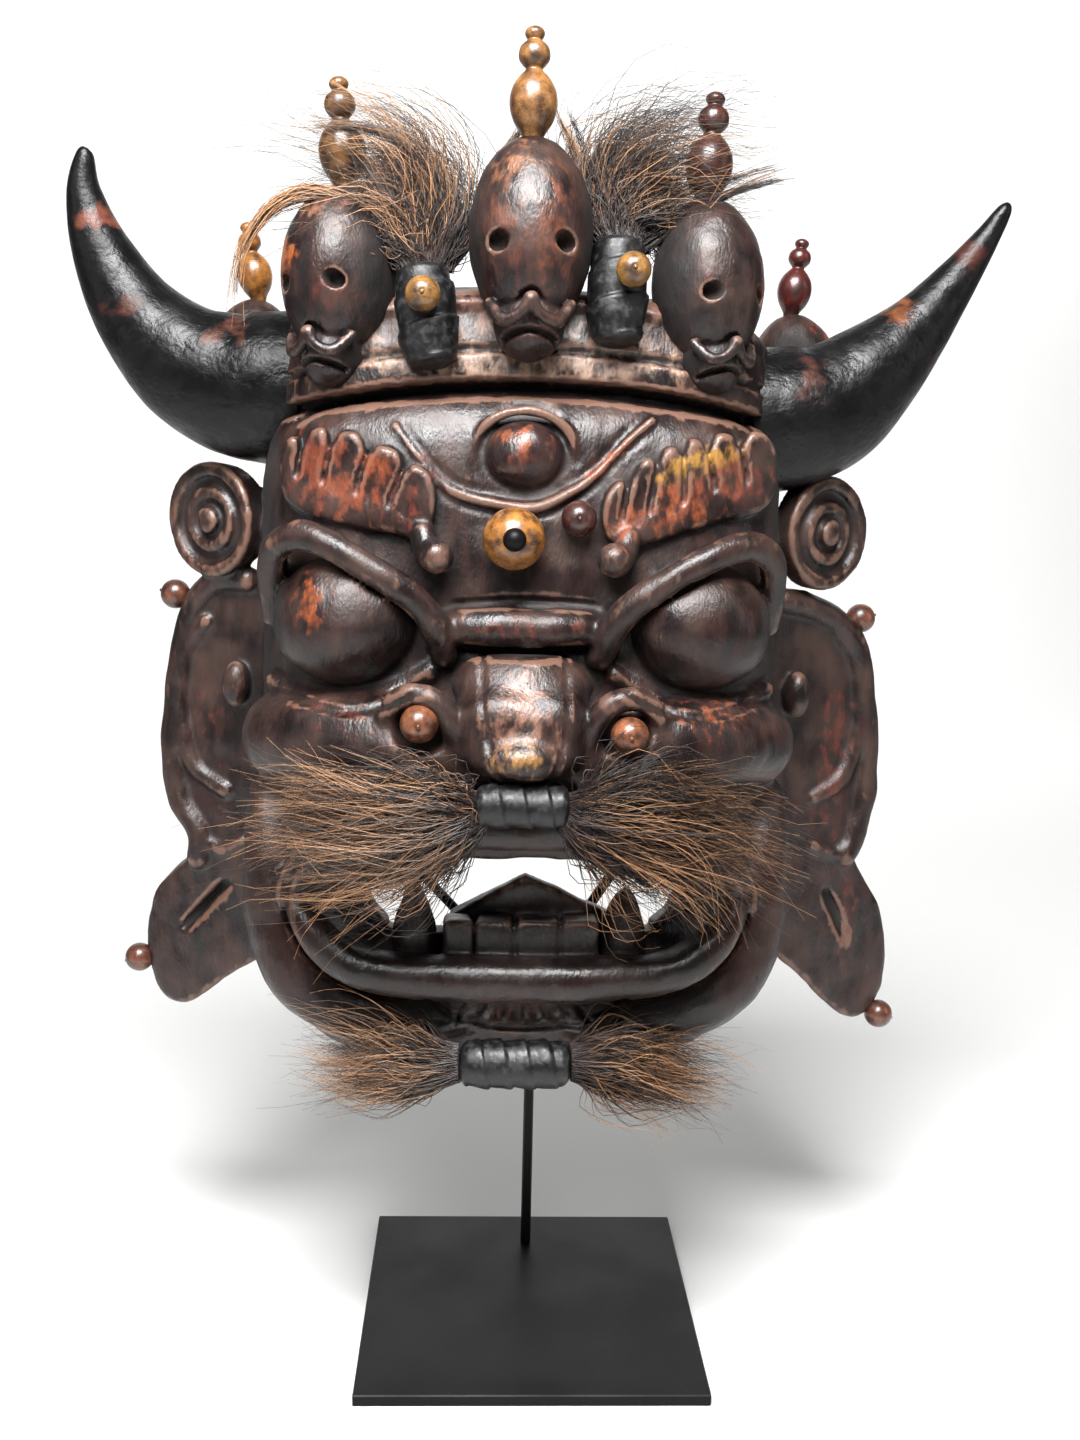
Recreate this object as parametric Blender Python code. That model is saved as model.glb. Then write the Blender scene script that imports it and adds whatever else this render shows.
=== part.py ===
"""Carved and painted wooden dance mask of a horned guardian, on its steel display stand.

Metres, +Z up. The origin is the middle of the base plate's underside, and the face looks along -Y.
"""

import math

import bmesh
import bpy
from mathutils import Matrix, Vector
from mathutils.bvhtree import BVHTree

# Driving dimensions of the stand
PLATE_WIDTH = 0.150
PLATE_DEPTH = 0.150
PLATE_THICKNESS = 0.005
PLATE_EDGE_BEVEL = 0.0005
ROD_DIAMETER = 0.005
ROD_FROM_BACK_EDGE = 0.027

# Driving dimensions of the mask
FACE_HEIGHT = 0.270
CHIN_HEIGHT = 0.150
MASK_SIDE_SHIFT = -0.0105
MASK_WALL = 0.012
MOUTH_GAP_HEIGHT = 0.032
MOUTH_GAP_WIDTH = 0.124
EAR_THICKNESS = 0.016
EAR_DISC_RADIUS = 0.0245
EAR_DISC_THICKNESS = 0.013

# Driving dimensions of what is fastened to the mask
SKULL_HEIGHT = 0.084
FAR_SKULL_HEIGHT = 0.066
FINIAL_HEIGHT = 0.040
FAR_FINIAL_HEIGHT = 0.033
HORN_BASE_RADIUS = 0.031
FOREHEAD_BEAD_RADIUS = 0.0118
BROW_BEAD_RADIUS = 0.0068
NOSTRIL_BEAD_RADIUS = 0.0072
EAR_BEAD_RADIUS = 0.0065
TUFT_BEAD_RADIUS = 0.0066
TUFT_WRAP_RADIUS = 0.0115
MOUSTACHE_WRAP_RADIUS = 0.0085
MOUSTACHE_WRAP_LENGTH = 0.036
GOATEE_WRAP_RADIUS = 0.0100
GOATEE_WRAP_LENGTH = 0.045

# Clearance between pieces that touch, and how deep a seat is let into a piece
GAP = 0.0004
SEAT_SHARE = 0.16

# The carver's unit: the face is 270 of these tall, and all the carving is laid out in them,
# x from the face's middle line, y from the ear line and v up from the chin
UNIT = FACE_HEIGHT / 270
BACK = 38

# Fineness of the carved block, and the share of its faces that is kept
CARVING_VOXEL = FACE_HEIGHT / 150
CARVING_KEEP = 0.0098
SKULL_VOXEL = 0.022
SKULL_KEEP = 0.019


def place(x, y, v):
    """A point of the carving in metres."""
    return Vector((MASK_SIDE_SHIFT + x * UNIT, y * UNIT, CHIN_HEIGHT + v * UNIT))


def material(name, colour, roughness, metallic=0.0):
    """A plain Principled material."""
    made = bpy.data.materials.new(name)
    made.use_nodes = True
    shader = made.node_tree.nodes["Principled BSDF"]
    shader.inputs["Base Color"].default_value = (*colour, 1.0)
    shader.inputs["Roughness"].default_value = roughness
    shader.inputs["Metallic"].default_value = metallic
    return made


def new_object(name, mesh, finish=None):
    """An object of a mesh, linked to the scene and given its material."""
    thing = bpy.data.objects.new(name, mesh)
    bpy.context.scene.collection.objects.link(thing)
    if finish is not None:
        mesh.materials.clear()
        mesh.materials.append(finish)
    return thing


def mesh_of(name, shape):
    """Turns a bmesh into a mesh with its faces pointing out, shaded smooth up to sharp edges."""
    bmesh.ops.recalc_face_normals(shape, faces=shape.faces)
    mesh = bpy.data.meshes.new(name)
    shape.to_mesh(mesh)
    shape.free()
    mesh.shade_smooth()
    mesh.set_sharp_from_angle(angle=math.radians(40))
    return mesh


def hide(thing):
    """Marks a cutter or a guide, which isn't a piece."""
    thing.hide_render = True
    thing.display_type = "WIRE"
    return thing


def evaluated_mesh(thing, name):
    """The mesh of an object with its modifiers worked out."""
    graph = bpy.context.evaluated_depsgraph_get()
    return bpy.data.meshes.new_from_object(thing.evaluated_get(graph), depsgraph=graph).copy()


def smooth_path(points, steps):
    """Points along a smooth curve through the given ones, each a tuple of any length."""
    last = len(points) - 1
    result = []
    for span in range(last):
        before = points[max(span - 1, 0)]
        start = points[span]
        end = points[span + 1]
        after = points[min(span + 2, last)]
        for step in range(steps):
            t = step / steps
            weights = (
                (-t + 2 * t * t - t * t * t) / 2,
                (2 - 5 * t * t + 3 * t * t * t) / 2,
                (t + 4 * t * t - 3 * t * t * t) / 2,
                (t * t * t - t * t) / 2,
            )
            knots = zip(before, start, end, after)
            result.append(tuple(sum(w * k for w, k in zip(weights, four)) for four in knots))
    result.append(tuple(points[last]))
    return result


def loft(shape, rings):
    """Skins a row of rings with the same number of points and closes both ends."""
    rows = [[shape.verts.new(point) for point in ring] for ring in rings]
    for low, high in zip(rows, rows[1:]):
        for index in range(len(low)):
            after = (index + 1) % len(low)
            shape.faces.new((low[index], low[after], high[after], high[index]))
    shape.faces.new(rows[0][::-1])
    shape.faces.new(rows[-1])


def roll(shape, stations, sides=10, steps=4, flat=1.0, blunt=0.55):
    """A round carved roll along stations of x, y, v and radius, all in the carver's unit.

    flat presses its section towards the face, and blunt says how round its ends are.
    """
    path = smooth_path(stations, steps)
    points = [place(*station[:3]) for station in path]
    radii = [station[3] * UNIT for station in path]
    rings = []
    normal = Vector((0, 1, 0))
    for index, centre in enumerate(points):
        ahead = points[min(index + 1, len(points) - 1)]
        behind = points[max(index - 1, 0)]
        tangent = (ahead - behind).normalized()
        if abs(tangent.dot(normal)) > 0.9:
            normal = Vector((1, 0, 0))
        across = tangent.cross(normal).normalized()
        outward = across.cross(tangent).normalized()
        corners = []
        for corner in range(sides):
            angle = 2 * math.pi * corner / sides
            reach = across * math.cos(angle) + outward * math.sin(angle) * flat
            corners.append(centre + reach * radii[index])
        rings.append((centre, tangent, corners))
    start, heading, first = rings[0]
    end, leaving, last = rings[-1]
    cap_in = start - heading * radii[0] * blunt
    cap_out = end + leaving * radii[-1] * blunt
    closed = [[cap_in + (corner - start) * 0.45 for corner in first]]
    closed += [corners for _, _, corners in rings]
    closed += [[cap_out + (corner - end) * 0.45 for corner in last]]
    loft(shape, closed)


def ball(shape, centre, radii, turn=0.0, tilt=0.0, rows=12):
    """An egg of the carving: centre and radii in the carver's unit, turned about Z, tilted about Y."""
    spin = Matrix.Rotation(turn, 4, "Z") @ Matrix.Rotation(tilt, 4, "Y")
    size = Matrix.Diagonal((*[radius * UNIT for radius in radii], 1.0))
    where = Matrix.Translation(place(*centre)) @ spin @ size
    bmesh.ops.create_uvsphere(shape, u_segments=2 * rows, v_segments=rows, radius=1.0, matrix=where)


def slab(shape, outline, front, back):
    """A flat board of the carving: its outline of x and v, lofted from front to back depth."""
    rings = []
    for depth in (front, back):
        rings.append([place(x, depth(x), v) for x, v in outline])
    loft(shape, rings)


def mirrored(stations):
    """The same stations on the face's other side."""
    return [(-station[0], *station[1:]) for station in stations]


# The head's stations from chin to crown: height, half width and depth of the front at the middle.
# The crack above the forehead and the crown band's tiers are the close ones at the end.
HEAD_STATIONS = (
    (-18, 60, -28),
    (-8, 82, -46),
    (6, 93, -56),
    (24, 100, -62),
    (50, 103, -61),
    (85, 104, -68),
    (115, 104, -71),
    (150, 104, -70),
    (185, 104, -70),
    (215, 104, -68),
    (240, 103, -66),
    (254, 101, -62),
    (262, 99, -56),
)
CROWN_STATIONS = (
    (265, 95, -47),
    (268, 95, -47),
    (270, 99, -56),
    (279, 99, -55),
    (280, 98, -52.5),
    (282, 98, -52.5),
    (283, 99, -54),
    (295, 98, -50),
    (299, 98, -51),
    (303, 96, -48),
    (307, 86, -36),
)
HEAD_SQUARENESS = 5.0
HEAD_FLARE = 0.085
HEAD_RING_COUNT = 44
CROWN_DROP = 13
CROWN_DROP_FROM = 228
CROWN_DROP_FULL = 262


def head_ring(v, half_width, front, inset=0.0, points=HEAD_RING_COUNT):
    """One level of the head: a squared arch in front and a straight line along the back."""
    ring = []
    ramp = min(max((v - CROWN_DROP_FROM) / (CROWN_DROP_FULL - CROWN_DROP_FROM), 0.0), 1.0)
    for index in range(points + 1):
        angle = math.pi * index / points
        cosine, sine = math.cos(angle), math.sin(angle)
        depth = abs(sine) ** (2 / HEAD_SQUARENESS)
        side = math.copysign(abs(cosine) ** (2 / HEAD_SQUARENESS), cosine)
        flare = 1 + HEAD_FLARE * (1 - depth)
        x = side * (half_width - inset) * flare
        y = BACK - (BACK - front - inset) * depth
        drop = CROWN_DROP * ramp * side * side
        ring.append(place(x, y, v - drop))
    return ring


def head_block(shape):
    """The plain head from chin to crown."""
    stations = smooth_path(HEAD_STATIONS, 3) + list(CROWN_STATIONS)
    loft(shape, [head_ring(*station) for station in stations])


# One side of the face, mirrored for the other: stations of x, y, v and radius
LID = (
    (97, -46, 184, 6.5),
    (96, -57, 199, 7.5),
    (90, -67, 206, 8.5),
    (80, -74, 205, 9),
    (67, -78, 201, 9),
    (53, -79, 195, 9),
    (43, -78, 187, 8.5),
    (35, -75, 177, 7.5),
    (31, -71, 165, 6.5),
)
LOWER_LID = (
    (95, -52, 160, 4),
    (86, -64, 152, 4),
    (68, -71, 149, 4),
    (50, -72, 153, 4),
    (38, -72, 162, 4),
)
CHEEK = (
    (24, -80, 128, 15),
    (46, -77, 130, 18),
    (72, -68, 130, 19),
    (93, -50, 128, 18),
)
NOSTRIL_WING = (
    (23, -88, 122, 4),
    (25, -92, 136, 4.5),
    (31, -94, 145, 4.5),
    (41, -93, 148, 4.5),
    (49, -90, 143, 4.5),
    (51, -87, 132, 4),
)
JOWL = (
    (101, -44, 104, 9),
    (99, -52, 78, 12),
    (97, -55, 52, 13),
    (88, -58, 32, 13),
    (73, -58, 20, 13),
    (52, -58, 16, 12),
    (30, -56, 16, 11),
)
UPPER_LIP_HALF = (
    (91, -66, 68, 6),
    (84, -70, 80, 7),
    (66, -76, 92, 8),
    (38, -82, 98, 9),
    (0, -84, 99, 9),
)
LOWER_LIP_HALF = (
    (91, -66, 70, 5),
    (85, -72, 59, 7),
    (73, -75, 47, 8.5),
    (58, -77, 40, 9),
    (34, -78, 37.5, 9.5),
    (0, -79, 37, 9.5),
)
CHIN = ((0, -60, 30), (35, 15, 17))
NOSE_BRIDGE = ((-28, -69, 174, 7), (-14, -74, 175, 8), (14, -74, 175, 8), (28, -69, 174, 7))
NOSE_EGGS = (
    ((0, -79, 154), (24, 17, 13)),
    ((0, -88, 138), (25, 24, 19)),
    ((0, -92, 129), (22, 20, 11)),
)
EYEBALL = (68, -60, 176)
EYEBALL_RADII = (29, 27, 26)
BROW_CURL = (34, -76, 201)
BROW_CURL_RADIUS = 7
BROW_LOCKS = 6
BROW_LINE = (
    (88, -60, 232),
    (77, -67, 232),
    (65, -70, 227),
    (54, -72, 220),
    (46, -73, 212),
    (40, -74, 204),
)
BROW_HALF_HEIGHTS = (15, 17, 17, 16, 14, 12)


def symmetric(half):
    """Stations that start at one corner, with the other side added."""
    return list(half) + mirrored(half[:-1])[::-1]


def face_carving(shape):
    """What stands proud on the head: eyes, brows, nose, cheeks, lips, teeth and tongue."""
    for side in (-1, 1):
        for form in (LID, LOWER_LID, CHEEK, NOSTRIL_WING, JOWL):
            roll(shape, [(side * x, y, v, radius) for x, y, v, radius in form])
        x, y, v = EYEBALL
        ball(shape, (side * x, y, v), EYEBALL_RADII, rows=16)
        x, y, v = BROW_CURL
        ball(shape, (side * x, y, v), (BROW_CURL_RADIUS,) * 3)
        for (x, y, v), half_height in zip(BROW_LINE, BROW_HALF_HEIGHTS):
            tilt = side * (0.15 + (88 - x) * 0.009)
            ball(shape, (side * x, y, v), (8.5, 8, half_height), tilt=tilt)
    roll(shape, symmetric(UPPER_LIP_HALF))
    roll(shape, symmetric(LOWER_LIP_HALF))
    third_eye(shape)
    nose(shape)
    ball(shape, *CHIN)


THIRD_EYE = (-1, 240)
THIRD_EYE_RING = (19.5, 16)
THIRD_EYE_PEAK = 3.5
THIRD_EYE_FIELD = (
    (-49, -63, 248, 2.4),
    (-36, -66, 232, 2.6),
    (-17, -68, 222.5, 2.8),
    (0, -69, 220, 3),
    (17, -68, 227, 2.8),
    (35, -66, 243, 2.6),
    (52, -62, 252, 2.4),
)


def third_eye(shape):
    """The eye on the forehead, with its almond rim and the line that frames it."""
    middle, level = THIRD_EYE
    ball(shape, (middle, -64, level - 1), (14.5, 9.5, 13.5))
    rim = []
    for step in range(17):
        angle = math.pi / 2 + 2 * math.pi * step / 16
        peak = THIRD_EYE_PEAK * max(math.sin(angle), 0.0) ** 6
        x = middle + THIRD_EYE_RING[0] * math.cos(angle)
        v = level + THIRD_EYE_RING[1] * math.sin(angle) + peak
        rim.append((x, -65.5 + 0.0035 * (x - middle) ** 2, v, 2.6))
    roll(shape, rim, steps=1, blunt=0.1)
    roll(shape, THIRD_EYE_FIELD)


def nose(shape):
    """The rolled bridge and the broad nose below it."""
    roll(shape, NOSE_BRIDGE)
    for centre, radii in NOSE_EGGS:
        ball(shape, centre, radii)


TOOTH_GAP = 1.6
TOOTH_DEPTHS = (-74, -61)
TOOTH_EDGES = (-30, -17, -1, 17, 33)
FANGS = ((-41, 73), (43, 70))


def lower_teeth(shape):
    """Four flat front teeth behind the lower lip, with a fang on each side."""
    for left, right in zip(TOOTH_EDGES, TOOTH_EDGES[1:]):
        low, high = left + TOOTH_GAP / 2, right - TOOTH_GAP / 2
        outline = ((low, 36), (high, 36), (high, 57), (high - 1.5, 59), (low + 1.5, 59), (low, 57))
        slab(shape, outline, lambda x: TOOTH_DEPTHS[0], lambda x: TOOTH_DEPTHS[1])
    for x, tip in FANGS:
        roll(shape, ((x, -64, 42, 9.5), (x, -65, 54, 9), (x, -66, 65, 5), (x, -66, tip, 1.2)))


TONGUE_OUTLINE = ((-31, 38), (38, 38), (38, 58), (3, 74), (-27, 57))
TONGUE_DEPTHS = (-60, -32)


def tongue(shape):
    """The tongue, carved like a low roof behind the teeth."""
    slab(shape, TONGUE_OUTLINE, lambda x: TONGUE_DEPTHS[0], lambda x: TONGUE_DEPTHS[1])


def mouth_carving(name, carve):
    """Teeth or tongue, joined to the mask once its mouth is open."""
    shape = bmesh.new()
    carve(shape)
    return hide(new_object(name, mesh_of(name, shape)))


# Outlines of the ears from the top, round the outside to the lobe and back up to the head
EAR_LEFT = (
    (-104, 186), (-122, 191), (-137, 189), (-148, 176), (-154, 147), (-158, 111), (-155, 88),
    (-146, 73), (-146, 62), (-155, 53), (-164, 42), (-168, 22), (-167, 6), (-160, -7),
    (-150, -9), (-137, 0), (-123, 11), (-108, 24),
)
EAR_RIGHT = (
    (104, 186), (119, 187), (132, 184), (146, 177), (157, 160), (164, 125), (165, 97),
    (161, 75), (156, 66), (163, 53), (173, 36), (177, 18), (177, 1), (171, -11),
    (161, -14), (147, -6), (131, 11), (108, 34),
)
EAR_RIM_POINTS = 9
EAR_LEAN = 0.42
EAR_INNER_FRONT = -6
EAR_INNER_X = 104
EAR_RIM_RADIUS = 5.5
EAR_KNOB = (122, 142)
EAR_KNOB_RADII = (6, 6, 10)


def ear_front(x):
    """Depth of the ear's front, which leans back away from the head."""
    return EAR_INNER_FRONT + EAR_LEAN * (abs(x) - EAR_INNER_X)


def ear_back(x):
    """Depth of the ear's back, one thickness behind its front."""
    return ear_front(x) + EAR_THICKNESS / UNIT


def ear(shape, outline, side):
    """A flat long ear with a raised rim, an inner fold, a small knob and a carved crescent."""
    slab(shape, outline, ear_front, ear_back)
    rim = []
    for x, v in outline[1:EAR_RIM_POINTS]:
        inner = x - side * EAR_RIM_RADIUS * 0.9
        rim.append((inner, ear_front(x) + 0.5, v - 4 if v > 170 else v, EAR_RIM_RADIUS))
    roll(shape, rim)
    middle = outline[5][0] - side * 26
    fold = (
        (middle + side * 4, 168, 4),
        (middle + side * 14, 155, 4.5),
        (middle + side * 17, 130, 4.5),
        (middle + side * 11, 104, 4.5),
        (middle - side * 4, 94, 4),
    )
    roll(shape, [(x, ear_front(x) + 1, v, radius) for x, v, radius in fold])
    across, level = EAR_KNOB
    ball(shape, (side * across, ear_front(across), level), EAR_KNOB_RADII)
    crescent = [(outline[7][0] - side * reach, 72 - dip) for reach, dip in ((6, 0), (16, 5), (26, 0))]
    roll(shape, [(x, ear_front(x) + 1, v, 3.2) for x, v in crescent])


EAR_DISC = (130, 4, 212)
EAR_DISC_TURN = 0.62


def ear_disc(shape, side):
    """The round rosette above the ear: a rimmed disc with a boss, turned outwards."""
    radius = EAR_DISC_RADIUS / UNIT
    half = EAR_DISC_THICKNESS / UNIT / 2
    steps = ((-half, 0.96), (half - 2, 1.0), (half, 0.93), (half, 0.78), (half - 2.5, 0.72),
             (half - 2.5, 0.6), (half - 0.5, 0.52), (half - 0.5, 0.36), (half - 2.5, 0.3),
             (half - 2.5, 0.24), (half + 1.5, 0.2), (half + 2, 0.06))
    turn = Matrix.Rotation(side * EAR_DISC_TURN, 3, "Z")
    x, y, v = EAR_DISC
    centre = place(side * x, y, v)
    rings = []
    for height, share in steps:
        ring = []
        for corner in range(28):
            angle = 2 * math.pi * corner / 28
            reach = radius * share
            spot = Vector((reach * math.cos(angle), -height, reach * math.sin(angle)))
            ring.append(centre + turn @ spot * UNIT)
        rings.append(ring)
    loft(shape, rings)


# Slots cut into the carving after it is one piece
EAR_SLOTS = (((-127, 53), (-150, 27)), ((142, 51), (160, 17)))
EAR_SLOT_WIDTH = 0.0065
EAR_SLOT_DEPTH = 0.006
BACK_TRIM = 0.8
HOLLOW_RING_COUNT = 20
HOLLOW_OVERRUN = 20
MOUTH_MIDDLE = (2, 66)
MOUTH_CUT_DEPTHS = (-110, -20)


def hollow_cutter():
    """What is taken out behind the face, one wall thickness inside the plain head."""
    shape = bmesh.new()
    inset = MASK_WALL / UNIT
    stations = [station for station in HEAD_STATIONS if station[0] > HEAD_STATIONS[0][0] + inset]
    top, half_width, front = CROWN_STATIONS[-2]
    stations.append((top - inset, half_width, front - 2))
    rings = []
    for station in stations:
        ring = head_ring(*station, inset=inset, points=HOLLOW_RING_COUNT)
        through = Vector((0, UNIT * HOLLOW_OVERRUN, 0))
        ring[0] = ring[0] + through
        ring[-1] = ring[-1] + through
        rings.append(ring)
    loft(shape, rings)
    bmesh.ops.triangulate(shape, faces=shape.faces)
    return hide(new_object("cut_hollow", mesh_of("cut_hollow", shape)))


def back_cutter():
    """What the saw takes off behind the head, which leaves its rim flat."""
    shape = bmesh.new()
    half = FACE_HEIGHT / UNIT
    outline = ((-half, -half), (half, -half), (half, half * 2), (-half, half * 2))
    slab(shape, outline, lambda x: BACK - BACK_TRIM, lambda x: BACK + half)
    return hide(new_object("cut_back", mesh_of("cut_back", shape)))


def mouth_cutter():
    """The gap between the teeth and the upper lip, right through to the hollow."""
    shape = bmesh.new()
    x, v = MOUTH_MIDDLE
    half = MOUTH_GAP_WIDTH / UNIT / 2
    high = MOUTH_GAP_HEIGHT / UNIT / 2
    outline = ((-half, 0), (-half * 0.86, -high * 0.75), (-half * 0.7, -high), (half * 0.7, -high),
               (half * 0.86, -high * 0.75), (half, 0), (half * 0.8, high * 0.8), (half * 0.3, high),
               (-half * 0.3, high), (-half * 0.8, high * 0.8))
    front, back = MOUTH_CUT_DEPTHS
    slab(shape, [(x + a, v + b) for a, b in outline], lambda x: front, lambda x: back)
    return hide(new_object("cut_mouth", mesh_of("cut_mouth", shape)))


def cut(thing, cutter, name, operation="DIFFERENCE"):
    """Takes a cutter away from a piece, or joins it on with the operation UNION."""
    change = thing.modifiers.new(name, "BOOLEAN")
    change.operation = operation
    change.solver = "EXACT"
    change.object = cutter


def carved_block():
    """The carving as one body: head, face, ears and discs fused and thinned out."""
    shape = bmesh.new()
    head_block(shape)
    face_carving(shape)
    ear(shape, EAR_LEFT, -1)
    ear(shape, EAR_RIGHT, 1)
    for side in (-1, 1):
        ear_disc(shape, side)
    rough = hide(new_object("carving_rough", mesh_of("carving_rough", shape)))
    fuse = rough.modifiers.new("fuse", "REMESH")
    fuse.mode = "VOXEL"
    fuse.voxel_size = CARVING_VOXEL
    thin = rough.modifiers.new("thin", "DECIMATE")
    thin.ratio = CARVING_KEEP
    return evaluated_mesh(rough, "mask")


def slot_cutter(index, high, low):
    """One slanting slot let into an ear lobe."""
    shape = bmesh.new()
    width = EAR_SLOT_WIDTH / UNIT
    top, bottom = Vector(high), Vector(low)
    across = Vector((top.y - bottom.y, bottom.x - top.x)).normalized() * width / 2
    outline = (top, top.lerp(bottom, 0.2) + across, bottom.lerp(top, 0.12) + across, bottom,
               bottom.lerp(top, 0.12) - across, top.lerp(bottom, 0.2) - across)
    floor = EAR_SLOT_DEPTH / UNIT
    slab(shape, outline, lambda x: ear_front(x) - 12, lambda x: ear_front(x) + floor)
    name = f"cut_slot_{index}"
    return hide(new_object(name, mesh_of(name, shape)))


def swollen(thing, name):
    """A copy of a piece grown by the gap, which cuts the seat of whatever rests on it."""
    copy = hide(new_object(name, evaluated_mesh(thing, name)))
    grow = copy.modifiers.new("grow", "DISPLACE")
    grow.strength = GAP
    grow.mid_level = 0.0
    return copy


def seat(block_tree, x, v):
    """Where a straight line from the front meets the carving, as a depth in the carver's unit."""
    start = place(x, -FACE_HEIGHT / UNIT, v)
    hit, _, _, _ = block_tree.ray_cast(start, Vector((0, 1, 0)))
    return hit.y / UNIT


def bead(name, centre, radius, finish):
    """A wooden bead with its poles to the front and back."""
    shape = bmesh.new()
    where = Matrix.Translation(centre) @ Matrix.Rotation(math.pi / 2, 4, "X")
    bmesh.ops.create_uvsphere(shape, u_segments=8, v_segments=6, radius=radius, matrix=where)
    return new_object(name, mesh_of(name, shape), finish)


def turned(shape, profile, base, direction, sides=8):
    """A turned form: rings of height and radius along a direction from its base."""
    turn = direction.to_track_quat("Z", "Y")
    rings = []
    for height, radius in profile:
        ring = []
        for corner in range(sides):
            angle = 2 * math.pi * corner / sides
            spot = Vector((radius * math.cos(angle), radius * math.sin(angle), height))
            ring.append(base + turn @ spot)
        rings.append(ring)
    loft(shape, rings)


# A finial's profile from its neck to its tip, as shares of its height
FINIAL_PROFILE = (
    (-0.05, 0.10), (0.10, 0.19), (0.28, 0.24), (0.44, 0.21), (0.55, 0.10), (0.65, 0.155),
    (0.77, 0.155), (0.84, 0.09), (0.95, 0.10), (1.0, 0.03),
)


def finial(name, base, direction, height, finish):
    """A turned finial: an egg, a small ball and a knob."""
    shape = bmesh.new()
    profile = [(share * height, reach * height) for share, reach in FINIAL_PROFILE]
    turned(shape, profile, base, direction)
    return new_object(name, mesh_of(name, shape), finish)


# A skull on a height of one, facing -Y with its middle at the origin
SKULL_CRANIUM = ((0, 0.03, 0.12), (0.285, 0.30, 0.38))
SKULL_JAW = ((0, -0.10, -0.36), (0.19, 0.20, 0.14))
SKULL_MUZZLE = ((0, -0.15, -0.19), (0.20, 0.16, 0.12))
SKULL_CHEEK = ((0.205, -0.10, -0.19), (0.075, 0.12, 0.09))
SKULL_SOCKET = ((0.145, -0.27, 0.08), (0.055, 0.10, 0.07))
SKULL_NOSE = ((0.05, -0.31, -0.12), (0.034, 0.08, 0.05))
SKULL_MOUTH = ((0, -0.30, -0.275), (0.14, 0.10, 0.024))


def egg(shape, centre, radii, rows=10):
    """A plain egg, for the skull's own frame."""
    where = Matrix.Translation(Vector(centre)) @ Matrix.Diagonal((*radii, 1.0))
    bmesh.ops.create_uvsphere(shape, u_segments=2 * rows, v_segments=rows, radius=1.0, matrix=where)


def paired(shape, form, rows=10):
    """The same egg on both sides of the skull."""
    (x, y, z), radii = form
    for side in (-1, 1):
        egg(shape, (side * x, y, z), radii, rows)


def skull_mesh():
    """The skull that all five are copies of, one metre tall and scaled where it is placed."""
    solid = bmesh.new()
    for form in (SKULL_CRANIUM, SKULL_JAW, SKULL_MUZZLE):
        egg(solid, *form, rows=14)
    paired(solid, SKULL_CHEEK)
    rough = hide(new_object("skull_rough", mesh_of("skull_rough", solid)))
    hollows = bmesh.new()
    paired(hollows, SKULL_SOCKET, rows=7)
    paired(hollows, SKULL_NOSE, rows=6)
    egg(hollows, *SKULL_MOUTH, rows=7)
    holes = hide(new_object("skull_holes", mesh_of("skull_holes", hollows)))
    fuse = rough.modifiers.new("fuse", "REMESH")
    fuse.mode = "VOXEL"
    fuse.voxel_size = SKULL_VOXEL
    cut(rough, holes, "hollows")
    thin = rough.modifiers.new("thin", "DECIMATE")
    thin.ratio = SKULL_KEEP
    return evaluated_mesh(rough, "skull")


# The crown's pieces: middle of each skull, its turn about Z, and its finial's lean
SKULLS = {
    "centre": ((0, -58, 317), 0.0, 0.0, 1.0),
    "left": ((-75, -46, 303), -0.52, -0.06, 0.92),
    "right": ((71, -46, 303), 0.5, 0.06, 0.9),
}
FAR_SKULLS = {
    "far_left": ((-122, 34, 275), -1.35, -0.16, 1.0),
    "far_right": ((124, 34, 275), 1.35, 0.12, 1.0),
}
SKULL_LEAN_BACK = -0.10


def crown_skull(label, spot, turn, lean, height, finial_height, template, wood):
    """One skull and the finial on top of it."""
    mesh = template.copy()
    centre = place(*spot)
    pose = Matrix.Rotation(turn, 4, "Z") @ Matrix.Rotation(SKULL_LEAN_BACK, 4, "X")
    mesh.transform(Matrix.Translation(centre) @ pose @ Matrix.Diagonal((height, height, height, 1)))
    skull = new_object(f"skull_{label}", mesh, wood)
    (_, cranium_y, cranium_z), (_, _, cranium_radius) = SKULL_CRANIUM
    top = centre + pose @ Vector((0, cranium_y, cranium_z + cranium_radius)) * height
    direction = Vector((lean, 0, 1)).normalized()
    turned_top = finial(f"finial_{label}", top, direction, finial_height, wood)
    return skull, turned_top


# Stations of x, y, v and share of the base radius along each horn's middle
HORN_LEFT = (
    (-92, -2, 268, 1.0), (-108, -2, 267, 1.0), (-124, -2, 269, 0.93), (-143, -3, 278, 0.79),
    (-161, -4, 296, 0.58), (-174, -6, 320, 0.39), (-180, -8, 342, 0.23), (-179, -10, 357, 0.09),
)
HORN_RIGHT = (
    (92, -2, 258, 0.98), (110, -2, 260, 0.97), (129, -2, 266, 0.88), (147, -3, 280, 0.70),
    (165, -4, 299, 0.46), (180, -6, 319, 0.29), (191, -8, 336, 0.17), (197, -10, 347, 0.08),
)


def horn(name, stations, finish):
    """A curved horn, thick where it leaves the head and blunt at its tip."""
    shape = bmesh.new()
    base = HORN_BASE_RADIUS / UNIT
    roll(shape, [(x, y, v, share * base) for x, y, v, share in stations], sides=10, steps=1)
    return new_object(name, mesh_of(name, shape), finish)


def bound_roll(name, start, end, radii, finish):
    """A leather binding: a short round form along a line, with a radius at each even station."""
    shape = bmesh.new()
    count = len(radii) - 1
    stations = []
    for index, radius in enumerate(radii):
        share = index / count
        x, y, v = (a + (b - a) * share for a, b in zip(start, end))
        stations.append((x, y, v, radius / UNIT))
    roll(shape, stations, steps=1, blunt=0.15)
    return new_object(name, mesh_of(name, shape), finish)


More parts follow.
